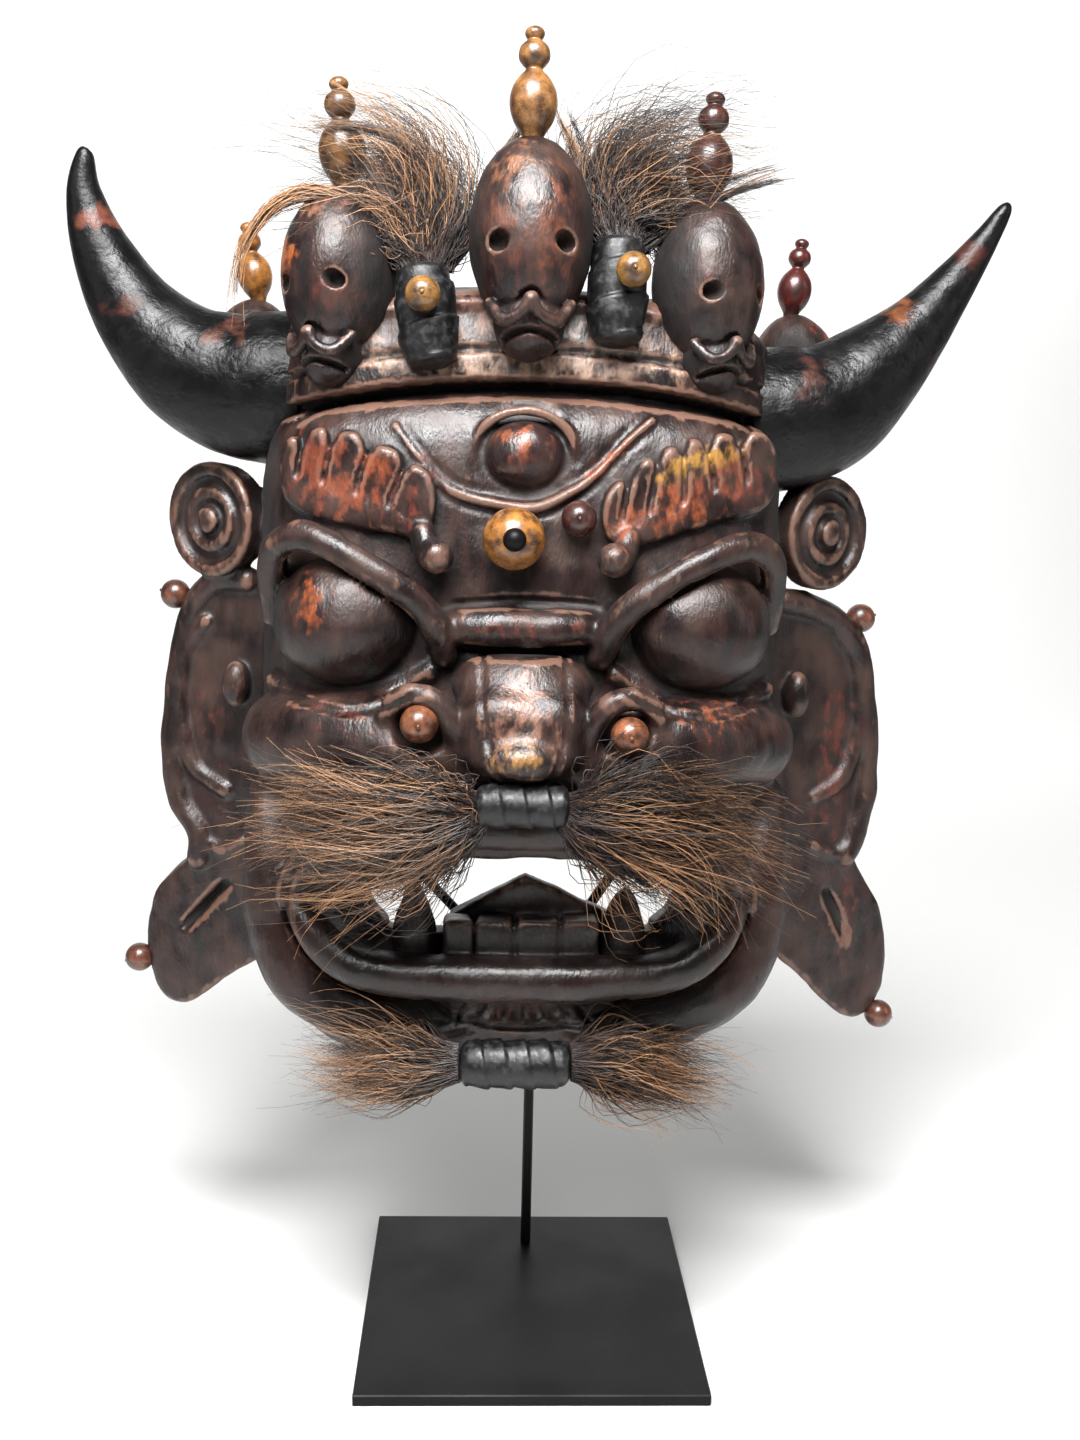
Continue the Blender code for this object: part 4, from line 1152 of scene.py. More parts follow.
    def add_nose(self, clay: Clay) -> None:
        """Carves the rolled bridge, the snout and the nostrils' wings."""
        bridge = ((-28, -69, 174, 7), (-14, -74, 175, 7.5), (14, -74, 175, 7.5), (28, -69, 174, 7))
        clay.add(Roll(bridge, 3), 2.0)
        clay.add(Egg((0, -79, 154), (27, 17, 14)), 3.0)
        clay.add(Roll(((-9, -88, 140, 17), (9, -88, 140, 17)), 2), 5.0)
        clay.add(Egg((0, -92, 129), (22, 20, 11)), 4.0)
        for side in (-1, 1):
            clay.take(Egg((side * 38, -94, 138), (10, 12, 9)), 3.0)
            clay.add(Roll(on_side(side, self.wing), margin=6), 1.5)
        for line, depth in (
            (((-36, 167), (-18, 166.5), (0, 166), (18, 167), (37, 168)), 3.0),
            (((-30, 183.5), (0, 185.5), (31, 184)), 2.2),
        ):
            clay.press(line, 2.2, depth, (-100, -50), Cut.KNIFE, ends=0.1)
        seam = (
            (-15, 166), (-15.5, 152), (-13, 138), (-9.5, 125), (0, 121), (9, 122), (13.5, 131), (16, 145),
            (15.5, 165),
        )
        clay.press(seam, 1.5, 1.1, (-120, -60), Cut.KNIFE)

    def add_brows(self, clay: Clay) -> None:
        """Carves the brows as leaves with scalloped tops, cut into locks, with a curl at the foot."""
        brows = ((-1, self.brow_left, self.locks_left), (1, self.brow_right, self.locks_right))
        for side, outline, locks in brows:
            leaf = Board(outline, self.brow_front, lambda x: -50 + 0 * x, (-80, -50), 3.0, 3)
            clay.add(leaf, 0.8)
            for low, middle, high in locks:
                start = tuple(0.35 * a + 0.65 * b for a, b in zip(low, middle))
                clay.press((start, middle, high), 1.7, 3.2, (-95, -45), Cut.KNIFE, ends=0.3)
                gully = [(x - side * 4.5, v - 4) for x, v in (start, middle, high)]
                clay.press(gully, 3.4, 0.9, (-95, -45), ends=0.3)
            foot = (side * 39, 210)
            curl = ((foot[0], -73, foot[1], 5.0), (side * 36.5, -77, 203, 5.5), (side * 33.5, -79, 202, 6.8))
            clay.add(Roll(curl), 1.2)

    def brow_front(self, x: np.ndarray) -> np.ndarray:
        """Depth of the brows' front, which bends back with the forehead."""
        return -77.5 + 0.002 * x * x

    def add_eyes(self, clay: Clay) -> None:
        """Sets the bulging eyes between their lids."""
        for side in (-1, 1):
            for lid in (self.lid, self.lower_lid):
                clay.add(Roll(on_side(side, lid)), 3.0)
            x, y, v = self.eyeball.centre
            clay.add(Egg((side * x, y, v), self.eyeball.radii), 0.4)
            groove = []
            for lid_x, lid_y, lid_v, radius in self.lid[1:]:
                reach = math.hypot(lid_x - x, lid_v - v)
                share = (reach - radius * 0.9) / reach
                groove.append((side * (x + (lid_x - x) * share), lid_y + 1.5, v + (lid_v - v) * share, 2.3))
            clay.take(Roll(groove), 1.0)

    def add_lips(self, clay: Clay) -> None:
        """Joins on the two lips."""
        for half in (self.upper_lip, self.lower_lip):
            clay.add(Roll(list(half) + on_side(-1, half[:-1])[::-1], margin=7), 3.0)

    def open_mouth(self, clay: Clay) -> None:
        """Cuts the mouth through and sets the teeth, fangs and tongue in it."""
        clay.take(slab(self.mouth, -110, -20, 2.0, 2), 2.0)
        clay.take(slab(self.mouth_rim, -110, -72, 4.0), 4.0)
        for left, right in zip(self.tooth_edges, self.tooth_edges[1:]):
            low, high = left + 0.5, right - 0.5
            top = ((high, 56.5), (high - 1.2, 58.6), (low + 1.2, 58.6), (low, 56.5))
            outline = ((low, 34), (high, 34), *top)
            clay.add(slab(outline, -74, -60, 2.0, 1), 0.4)
        for x, tip in ((-41, 73), (43, 70)):
            fang = ((x, -64, 42, 9.0), (x, -65, 54, 8.5), (x, -66, 65, 5), (x, -66, tip, 1.2))
            clay.add(Roll(fang), 0.8)
        clay.add(slab(self.tongue, -60, -32, 3.0, 1), 1.0)

    def cut_lines(self, clay: Clay) -> None:
        """Cuts the lines that a knife and a gouge left last."""
        front = (-120, -20)
        for x in (-22, -13, -5, 3, 11, 19, 28):
            clay.press(((x * 0.75, 27), (x, 18), (x * 1.15, 10)), 1.6, 1.5, front, Cut.KNIFE, ends=0.25)
        chin = ((-36, 31), (-30, 20), (-14, 10.5), (6, 8.5), (26, 12), (40, 22.5), (44, 32))
        clay.press(chin, 2.0, 2.0, front, Cut.KNIFE, ends=0.1)
        crack = (
            (-93, 250), (-78, 258), (-49, 263.5), (-18, 266.5), (12, 267), (43, 266), (75, 261), (92, 252),
        )
        clay.press(crack, 1.8, 5.0, front, Cut.KNIFE, ends=0.08)
        for side in (-1, 1):
            for line, width, depth, ends in (
                (((99, 146), (86, 145.5), (68, 143), (52, 146), (36, 155)), 2.0, 1.2, 0.15),
                (((80, 88), (90, 76), (91, 60), (84, 44), (70, 33), (50, 27), (34, 27)), 3.0, 2.4, 0.12),
                (((99, 112), (80, 108), (60, 109), (40, 110)), 3.0, 2.0, 0.2),
            ):
                clay.press(on_side(side, line), width, depth, front, ends=ends)
        for (ax, av), (bx, bv) in (((-127, 53), (-150, 27)), ((142, 51), (160, 17))):
            middle = ((ax + bx) / 2, (av + bv) / 2)
            clay.press(((ax, av), middle, (bx, bv)), 3.4, 7.0, (-14, 14), ends=0.25)

    def hollow(self, clay: Clay) -> None:
        """Scoops out the back and saws it flat."""
        rows = [row for row in HEAD_LOW if HEAD_LOW[0][0] + WALL < row[0] < 260]
        rows += [(262, 96, -48), (303, 94, -46)]
        clay.take(Head(rows, inset=WALL, back=80.0), 2.0)
        _, (_, y, _) = clay.window(clay.low, clay.high, 0.0)
        clay.values = np.maximum(clay.values, y - BACK)

    def paint(self) -> list[Patch]:
        """Where paint is left on the carving, and where the jaw and lower lip are darkened with painted
        shade.
        """
        red, orange, gold, pink, painted_shade = "5A2A20", "84442A", "A87E38", "7E5A4A", "0C0807"
        return [
            Patch(0, 286, 92, 22, "8C7060", 0.46),
            Patch(-78, 232, 16, 17, red, 0.62),
            Patch(-62, 228, 20, 14, orange, 0.60),
            Patch(-45, 221, 10, 13, red, 0.55),
            Patch(80, 234, 18, 14, red, 0.58),
            Patch(58, 224, 22, 10, orange, 0.62, 0.45),
            Patch(64, 239, 18, 4, gold, 0.72, 0.35),
            Patch(38, 216, 8, 10, orange, 0.55),
            Patch(-3, 246, 9, 6, "A05A38", 0.66),
            Patch(-1, 240, 14, 12, red, 0.35),
            Patch(-80, 182, 7, 13, "964E26", 0.66, soft=0.8),
            Patch(-66, 180, 22, 18, red, 0.20),
            Patch(66, 176, 22, 18, red, 0.14),
            Patch(0, 143, 13, 20, pink, 0.62),
            Patch(0, 128, 10, 6, gold, 0.40),
            Patch(0, 176, 26, 6, red, 0.42),
            Patch(-35, 233, 14, 3, red, 0.5, -0.9),
            Patch(30, 238, 16, 3, orange, 0.5, 0.75),
            Patch(0, 274, 92, 5, "9C8270", 0.62),
            Patch(0, 299, 90, 5, red, 0.50),
            Patch(-72, 140, 20, 8, red, 0.40),
            Patch(76, 143, 18, 8, orange, 0.42),
            Patch(90, 60, 12, 30, red, 0.50),
            Patch(-92, 50, 12, 30, red, 0.32),
            Patch(142, 110, 12, 40, red, 0.50),
            Patch(-136, 120, 10, 40, red, 0.28),
            Patch(-140, 28, 12, 22, red, 0.24),
            Patch(155, 32, 10, 26, red, 0.36),
            Patch(0, 38, 40, 5, red, 0.30),
            # Painted shade: near-black patches darken the jaw and the lower lip, which sit under the
            # moustache.
            Patch(-60, 30, 48, 36, painted_shade, 0.92),
            Patch(60, 30, 48, 36, painted_shade, 0.92),
            Patch(0, 46, 64, 16, painted_shade, 0.85),
        ]


@dataclass
class Skull:
    """The skull that all five are copies of: a helmet of bone over a short muzzle and a jaw."""

    height: float = 84.0
    step: float = 0.75
    limit: int = 16_000
    hem: Line = (
        (-30, -13), (-23, -18), (-16, -25), (-9, -25.5), (-4, -20), (0, -17.5), (4, -20), (9, -25.5),
        (16, -25), (23, -18), (30, -13), (32, -52), (-32, -52),
    )
    lip: Sequence[Station] = (
        (15, -7, -22, 2.2), (10, -12.5, -29, 2.6), (3.5, -15.5, -27, 2.2), (0, -16.5, -22, 2.8),
    )
    eye: Sequence[Station] = ((12.8, -28, -1, 4.9), (12.4, -15, -1.5, 3.6))
    smile: Line = ((-12, -37), (-8, -34), (0, -32.4), (8, -34), (12, -37))

    def model(self, material: Material, patches: Iterable[Patch]) -> Thing:
        """Carves one skull at its full size round its own middle.

        Args:
            material: The wood's finish.
            patches: Where paint is left.

        Returns:
            The skull in millimetres.
        """
        clay = Clay((-28, -32, -46), (28, 32, 46), self.step)
        clay.add(Egg((0, 2.5, 6.0), (23.7, 25.2, 36.0)), 0.0)
        clay.take(slab(self.hem, -50, -12, 1.0, 2), 0.8)
        clay.add(Egg((0, 1, -27), (13.8, 14.5, 15)), 0.5)
        for side in (-1, 1):
            clay.add(Roll(on_side(side, self.lip)), 0.6)
        clay.press(self.smile, 1.6, 4.0, (-40, -2), Cut.KNIFE)
        for side in (-1, 1):
            clay.take(Roll(on_side(side, self.eye)), 0.6)
        clay.roughen(7.0, 0.35, 8)
        clay.roughen(3.0, 0.15, 9)
        return carved_piece("skull", clay, material, patches, self.limit)


@dataclass(frozen=True)
class Seat:
    """Where a skull sits: its middle, its turn, its finial's lean, both heights and the tint."""

    label: str
    spot: Spot
    turn: float
    lean: float
    height: float
    finial: float
    tint: str


@dataclass
class Crown:
    """The five skulls round the crown band, each with a turned finial."""

    skull: Skull = field(default_factory=Skull)
    lean_back: float = -0.10
    crest: Vector = field(default_factory=lambda: Vector((0, 0.03, 0.50)))
    seats: Sequence[Seat] = (
        Seat("centre", (0, -58, 317), 0.0, 0.0, 84.0, 40.0, "96693A"),
        Seat("left", (-75, -46, 303), -0.52, -0.06, 77.3, 40.0, "7C5832"),
        Seat("right", (71, -46, 303), 0.5, 0.06, 75.6, 40.0, "4E2A20"),
        Seat("far_left", (-122, 34, 275), -1.35, -0.16, 66.0, 33.0, "A0682E"),
        Seat("far_right", (124, 34, 275), 1.35, 0.12, 66.0, 33.0, "561C17"),
    )
    finial_profile: Line = (
        (-0.06, 0.09), (0.0, 0.10), (0.05, 0.125), (0.14, 0.185), (0.26, 0.225), (0.38, 0.225), (0.48, 0.19),
        (0.56, 0.13), (0.60, 0.09), (0.625, 0.085), (0.65, 0.11), (0.70, 0.145), (0.76, 0.15), (0.82, 0.13),
        (0.86, 0.085), (0.88, 0.07), (0.90, 0.085), (0.935, 0.095), (0.97, 0.08), (0.995, 0.04), (1.0, 0.0),
    )

    def skull_paint(self) -> dict[str, list[Patch]]:
        """Where paint is left on each skull, and where its muzzle is darkened with painted shade, in the
        skull's own millimetres.
        """
        red, orange, black = "4E2822", "A0562A", "140C0B"
        # Painted shade: a near-black patch darkens each front skull's muzzle under its overhanging cranium.
        muzzle = Patch(0, -34, 22, 11, black, 0.9)
        return {
            "centre": [
                Patch(-6, 26, 9, 13, "A87450", 0.60, soft=0.9),
                Patch(7, 8, 4, 24, "9A5630", 0.58, soft=0.9),
                Patch(-8, 6, 8, 12, "7A4630", 0.55),
                Patch(0, 0, 26, 40, "40241E", 0.5),
                muzzle,
            ],
            "left": [
                Patch(-10, 8, 8, 9, orange, 0.62),
                Patch(0, 30, 14, 10, "7E5440", 0.5),
                Patch(12, -8, 9, 9, red, 0.6),
                muzzle,
            ],
            "right": [Patch(18, 6, 7, 20, "6E3624", 0.55), Patch(-12, 0, 10, 12, red, 0.35), muzzle],
            "far_left": [Patch(0, 25, 14, 12, red, 0.5)],
            "far_right": [Patch(0, 25, 14, 12, "7A2A20", 0.55)],
        }

    def model(self, wood: Material, bead_wood: TurnedWood) -> list[Thing]:
        """Carves the skulls and turns their finials.

        Args:
            wood: The skulls' finish.
            bead_wood: The finish that the finials are made from.

        Returns:
            The pieces.
        """
        pieces = []
        paints = self.skull_paint()
        template = self.skull.model(wood, [])
        spots = mesh_points(template.data)
        for seat in self.seats:
            mesh = template.data.copy()
            colours = painted(spots, paints[seat.label])
            mesh.attributes["paint"].data.foreach_set("color", colours.astype(np.float32).ravel())
            centre = Vector(to_metres(np.array(seat.spot)))
            pose = Matrix.Rotation(seat.turn, 4, "Z") @ Matrix.Rotation(self.lean_back, 4, "X")
            size = Matrix.Scale(seat.height / self.skull.height * MILLIMETRE, 4)
            mesh.transform(Matrix.Translation(centre) @ pose @ size)
            skull = new_object(f"skull_{seat.label}_carved", mesh)
            pieces.append(finish_piece(skull, "carved_wood", f"skull_{seat.label}"))
            top = centre + pose @ self.crest * seat.height * MILLIMETRE
            axis = Vector((seat.lean, 0, 1)).normalized()
            finish = bead_wood.build(f"turned_wood_{seat.label}", seat.tint)
            name, tall = f"finial_{seat.label}_turned", seat.finial * MILLIMETRE
            finial = turned(name, self.finial_profile, top, axis, tall, finish)
            pieces.append(finish_piece(finial, "turned_wood", f"finial_{seat.label}"))
        bpy.data.objects.remove(template)
        return pieces


@dataclass(frozen=True)
class TurnedWood:
    """Small beads and finials turned in a fine wood, varnished: glossy, with gilding worn to copper."""

    dark: str = "23100B"
    ring_size: float = 2.4

    def build(self, name: str, tint: str) -> Material:
        """Makes the material in one tint.

        Args:
            name: What the finish is.
            tint: The colour of the varnish where it is whole.

        Returns:
            The material.
        """
        material, tree, shader, where = start_material(name, IOR=1.5)
        shader.inputs["Coat Weight"].default_value = 0.35
        shader.inputs["Coat Roughness"].default_value = 0.18
        patches = grain(tree, where, 5.0, 4.0)
        fine = grain(tree, where, self.ring_size * 0.5, 3.0, (1, 1, 0.3))
        share = plus_times(tree, sum_up(tree, "MULTIPLY", patches, 1.4), fine, 0.5)
        colour = blend_colours(tree, ramp(tree, share, 0.55, 1.45), self.dark, tint)
        dress(tree, colour, ramp(tree, patches, 0.3, 0.7, 0.40, 0.26), fine, 0.2, 0.4)
        return material


def turned(
    name: str,
    profile: Line,
    base: Vector,
    axis: Vector,
    height: float,
    material,
    sides: int = 40,
    steps: int = 3,
) -> Thing:
    """A turned form.

    Args:
        name: The piece's name.
        profile: Heights and radii as shares of the height.
        base: Its foot in metres.
        axis: Its direction.
        height: Its height in metres.
        material: Its finish.
        sides: How many sides its rings have.
        steps: How many rings each step of the profile gets.

    Returns:
        The piece.
    """
    rows = smooth_path(profile, steps) * height
    turn = np.array(axis.to_track_quat("Z", "Y").to_matrix())
    angles = np.linspace(0, 2 * math.pi, sides, endpoint=False)
    rings = []
    for level, radius in rows:
        radius = max(radius, 0.00002)
        ring = np.stack((radius * np.cos(angles), radius * np.sin(angles), np.full(sides, level)), axis=1)
        rings.append(ring @ turn.T + np.array(base))
    return skin_rings(name, rings, material)


def half_circle(steps: int) -> list[tuple[float, float]]:
    """Profile of a ball with a radius of one, from its foot to its top."""
    angles = [math.pi * step / steps for step in range(steps + 1)]
    return [(-math.cos(angle), math.sin(angle)) for angle in angles]


def skin_rings(name: str, rings: Sequence[np.ndarray], material: Material) -> Thing:
    """Skins rings of points with the same count and closes both ends.

    Args:
        name: The piece's name.
        rings: The rings, each running the same way round.
        material: Its finish.

    Returns:
        The piece.
    """
    sides = len(rings[0])
    points = np.concatenate([*rings, rings[0].mean(axis=0)[None], rings[-1].mean(axis=0)[None]])
    faces = []
    for row in range(len(rings) - 1):
        for corner in range(sides):
            after = (corner + 1) % sides
            low, high = row * sides, (row + 1) * sides
            faces.append((low + corner, low + after, high + after, high + corner))
    first, last = len(points) - 2, len(points) - 1
    for corner in range(sides):
        after = (corner + 1) % sides
        faces.append((first, after, corner))
        faces.append((last, (len(rings) - 1) * sides + corner, (len(rings) - 1) * sides + after))
    thing = mesh_object(name, points, faces, material)
    shape = bmesh.new()
    shape.from_mesh(thing.data)
    bmesh.ops.recalc_face_normals(shape, faces=shape.faces)
    shape.to_mesh(thing.data)
    shape.free()
    return thing


def along_path(path: np.ndarray, sides: int, section: Section) -> list[np.ndarray]:
    """Rings square to a path.

    Args:
        path: Points of the path.
        sides: How many points a ring has.
        section: Gives a ring's radii from its number and the angles round it.

    Returns:
        The rings.
    """
    rings = []
    angles = np.linspace(0, 2 * math.pi, sides, endpoint=False)
    normal = np.array((0.0, 1.0, 0.0))
    for index, centre in enumerate(path):
        tangent = path[min(index + 1, len(path) - 1)] - path[max(index - 1, 0)]
        tangent /= np.linalg.norm(tangent)
        across = np.cross(tangent, normal)
        across /= np.linalg.norm(across)
        out = np.cross(across, tangent)
        radii = section(index, angles)
        sideways = np.outer(np.cos(angles) * radii, across)
        rings.append(centre + sideways + np.outer(np.sin(angles) * radii, out))
    return rings


def ripple(points: np.ndarray, size: float, seed: int) -> np.ndarray:
    """A smooth bumpy value at each point, for bumps about as wide as size."""
    spread = np.random.default_rng(seed)
    total = np.zeros(len(points))
    for _ in range(6):
        wave = spread.normal(size=3) * 2.2 / size
        total += np.sin(points @ wave + spread.uniform(0, 6.28))
    return total / 6


def bumpy_skin(
    name: str,
    path: np.ndarray,
    rings: Sequence[np.ndarray],
    bumps: Sequence[tuple[float, float, int]],
    material: Material,
) -> Thing:
    """Skins rings round a path after pushing their points in and out.

    Args:
        name: The piece's name.
        path: The middle of each ring, in carver's millimetres.
        rings: The rings.
        bumps: Share of the radius, size in millimetres and seed of each kind of bump.
        material: Its finish.

    Returns:
        The piece.
    """
    points = np.concatenate(rings)
    out = points - np.repeat(path, len(rings[0]), axis=0)
    points = points + out * sum(share * ripple(points, size, seed) for share, size, seed in bumps)[:, None]
    shape = points.reshape(len(path), -1, 3)
    return skin_rings(name, [to_metres(ring) for ring in shape], material)


@dataclass
class Horns:
    """The two carved horns that curve out from behind the ears and up."""

    base: float = 31.0
    sides: int = 56
    steps: int = 14
    bumps: Sequence[tuple[float, float, int]] = ((0.020, 26.0, 3), (0.007, 8.0, 4))
    left: Sequence[Station] = (
        (-92, -2, 268, 1.0), (-108, -2, 267, 1.0), (-124, -2, 269, 0.93), (-143, -3, 278, 0.79),
        (-161, -4, 296, 0.58), (-174, -6, 320, 0.39), (-180, -8, 342, 0.23), (-179, -10, 356, 0.12),
        (-178.5, -10, 359, 0.04),
    )
    right: Sequence[Station] = (
        (92, -2, 258, 0.98), (110, -2, 260, 0.97), (129, -2, 266, 0.88), (147, -3, 280, 0.70),
        (165, -4, 299, 0.46), (180, -6, 319, 0.29), (191, -8, 336, 0.17), (196.5, -10, 346, 0.10),
        (198, -10, 349, 0.03),
    )

    def model(self, material: Material) -> list[Thing]:
        """Carves both horns.

        Args:
            material: The horns' finish.

        Returns:
            The pieces.
        """
        bands = {
            "left": [
                Patch(-172, 332, 14, 5, "5C3226", 0.75, 0.2),
                Patch(-163, 297, 10, 6, "3E2119", 0.6),
                Patch(-120, 287, 12, 8, "4A2A20", 0.7),
            ],
            "right": [
                Patch(156, 304, 8, 8, "63381F", 0.75, 0.6),
                Patch(117, 275, 9, 12, "3E211A", 0.6),
                Patch(182, 328, 7, 8, "3A1C16", 0.6),
            ],
        }
        pieces = []
        for label, stations in (("left", self.left), ("right", self.right)):
            rows = smooth_path(stations, self.steps)
            path, radii = rows[:, :3], np.maximum(rows[:, 3], 0.01) * self.base
            rings = along_path(path, self.sides, lambda index, angles: np.full(len(angles), radii[index]))
            horn = bumpy_skin(f"horn_{label}_carved", path, rings, self.bumps, material)
            spots = to_carver(mesh_points(horn.data))
            set_attribute(horn.data, "paint", painted(spots, bands[label]))
            pieces.append(finish_piece(horn, "horn_black", f"horn_{label}"))
        return pieces


@dataclass
class Beads:
    """The beads pinned to the forehead, the brow, the nostrils, the ears and the tufts."""

    radii: dict[str, float] = field(
        default_factory=lambda: {
            "bead_forehead": 11.8, "bead_brow": 6.8, "bead_nostril_left": 7.2, "bead_nostril_right": 7.2,
            "bead_ear_left_upper": 6.5, "bead_ear_left_lower": 6.5, "bead_ear_right_upper": 6.5,
            "bead_ear_right_lower": 6.5, "bead_tuft_left": 6.6, "bead_tuft_right": 6.6,
        }
    )

    tints: Sequence[tuple[str, str]] = (
        ("forehead", "B07434"), ("brow", "4A2822"), ("nostril", "90583A"), ("ear", "6E4230"),
        ("tuft", "A0743C"),
    )
    bored_end: Line = ((0.965, 0.20), (0.93, 0.12), (1.06, 0.10), (1.10, 0.05), (1.11, 0.0))

    def model(self, wood: TurnedWood, pin: Material) -> list[Thing]:
        """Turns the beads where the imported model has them.

        Args:
            wood: The finish that the beads are made from.
            pin: The finish of the pin through the large bead.

        Returns:
            The pieces.
        """
        finishes = {key: wood.build(f"varnished_bead_{key}", tint) for key, tint in self.tints}
        pieces = []
        for node, size in self.radii.items():
            radius = size * MILLIMETRE
            low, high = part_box(node)
            middle = (low + high) / 2
            axis = Vector((0, -1, 0))
            centre = Vector((middle.x, low.y + radius, middle.z))
            if "ear" in node:
                side = -1 if "left" in node else 1
                axis = Vector((side, 0, 0.25 if "upper" in node else -0.3)).normalized()
                centre = Vector(((low.x + radius) if side < 0 else (high.x - radius), middle.y, middle.z))
            profile = [*half_circle(14)[:-2], *self.bored_end]
            kind = node.split("_")[1]
            bead = turned(f"{node}_turned", profile, centre, axis, radius, finishes[kind], 40, 2)
            pieces.append(finish_piece(bead, "turned_wood", node))
            if kind == "forehead":
                foot = centre + axis * radius * 0.98
                stud = turned("forehead_pin", half_circle(10), foot, axis, 4.4 * MILLIMETRE, pin, 32, 2)
                pieces.append(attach(stud, BODY))
        return pieces


@dataclass
class Bindings:
    """The leather that ties the hair: two roots on the crown, and one wrap in each beard."""

    sides: int = 44
    rows: int = 70
    bumps: Sequence[tuple[float, float, int]] = ((0.045, 9.0, 11), (0.02, 3.5, 12))

    def model(self, material: Material) -> list[Thing]:
        """Winds the four wraps.

        Args:
            material: The leather's finish.

        Returns:
            The pieces.
        """
        pieces = []
        for name, start, end, radii, turns in (
            ("tuft_wrap_left", (-37, -60, 272), (-41, -53, 311), (9.0, 11.5, 12.0, 11.5, 9.6), 3),
            ("tuft_wrap_right", (33, -60, 282), (34, -52, 323), (9.0, 11.5, 12.0, 11.5, 9.6), 3),
            ("moustache_wrap", (-18, -104, 112), (18, -104, 112), (7.6, 8.5, 8.0, 8.5, 7.6), 4),
            ("goatee_wrap", (-22.5, -79, 2), (22.5, -79, 2), (9.0, 10.0, 9.4, 10.0, 9.0), 5),
        ):
            shares = np.linspace(0, 1, self.rows)
            path = np.outer(1 - shares, start) + np.outer(shares, end)
            widths = np.interp(shares, np.linspace(0, 1, len(radii)), radii)
            rings = along_path(path, self.sides, self.winding(shares, widths, turns))
            wrap = bumpy_skin(f"{name}_wound", path, rings, self.bumps, material)
            pieces.append(finish_piece(wrap, "black_leather", name))
        return pieces

    def winding(self, shares: np.ndarray, widths: np.ndarray, turns: int) -> Section:
        """Radii of a strip wound round: each turn's edge stands on the one before it."""

        def section(index: int, angles: np.ndarray) -> np.ndarray:
            """One ring's radii."""
            phase = (shares[index] * turns + angles / (2 * math.pi)) % 1.0
            lip = np.clip(phase / 0.85, 0, 1) * np.clip((1 - phase) / 0.06, 0, 1)
            end = min(1.0, math.sqrt(max(1 - abs(2 * shares[index] - 1) ** 12, 0.0)) + 0.05)
            return widths[index] * (0.93 + 0.09 * lip) * end

        return section


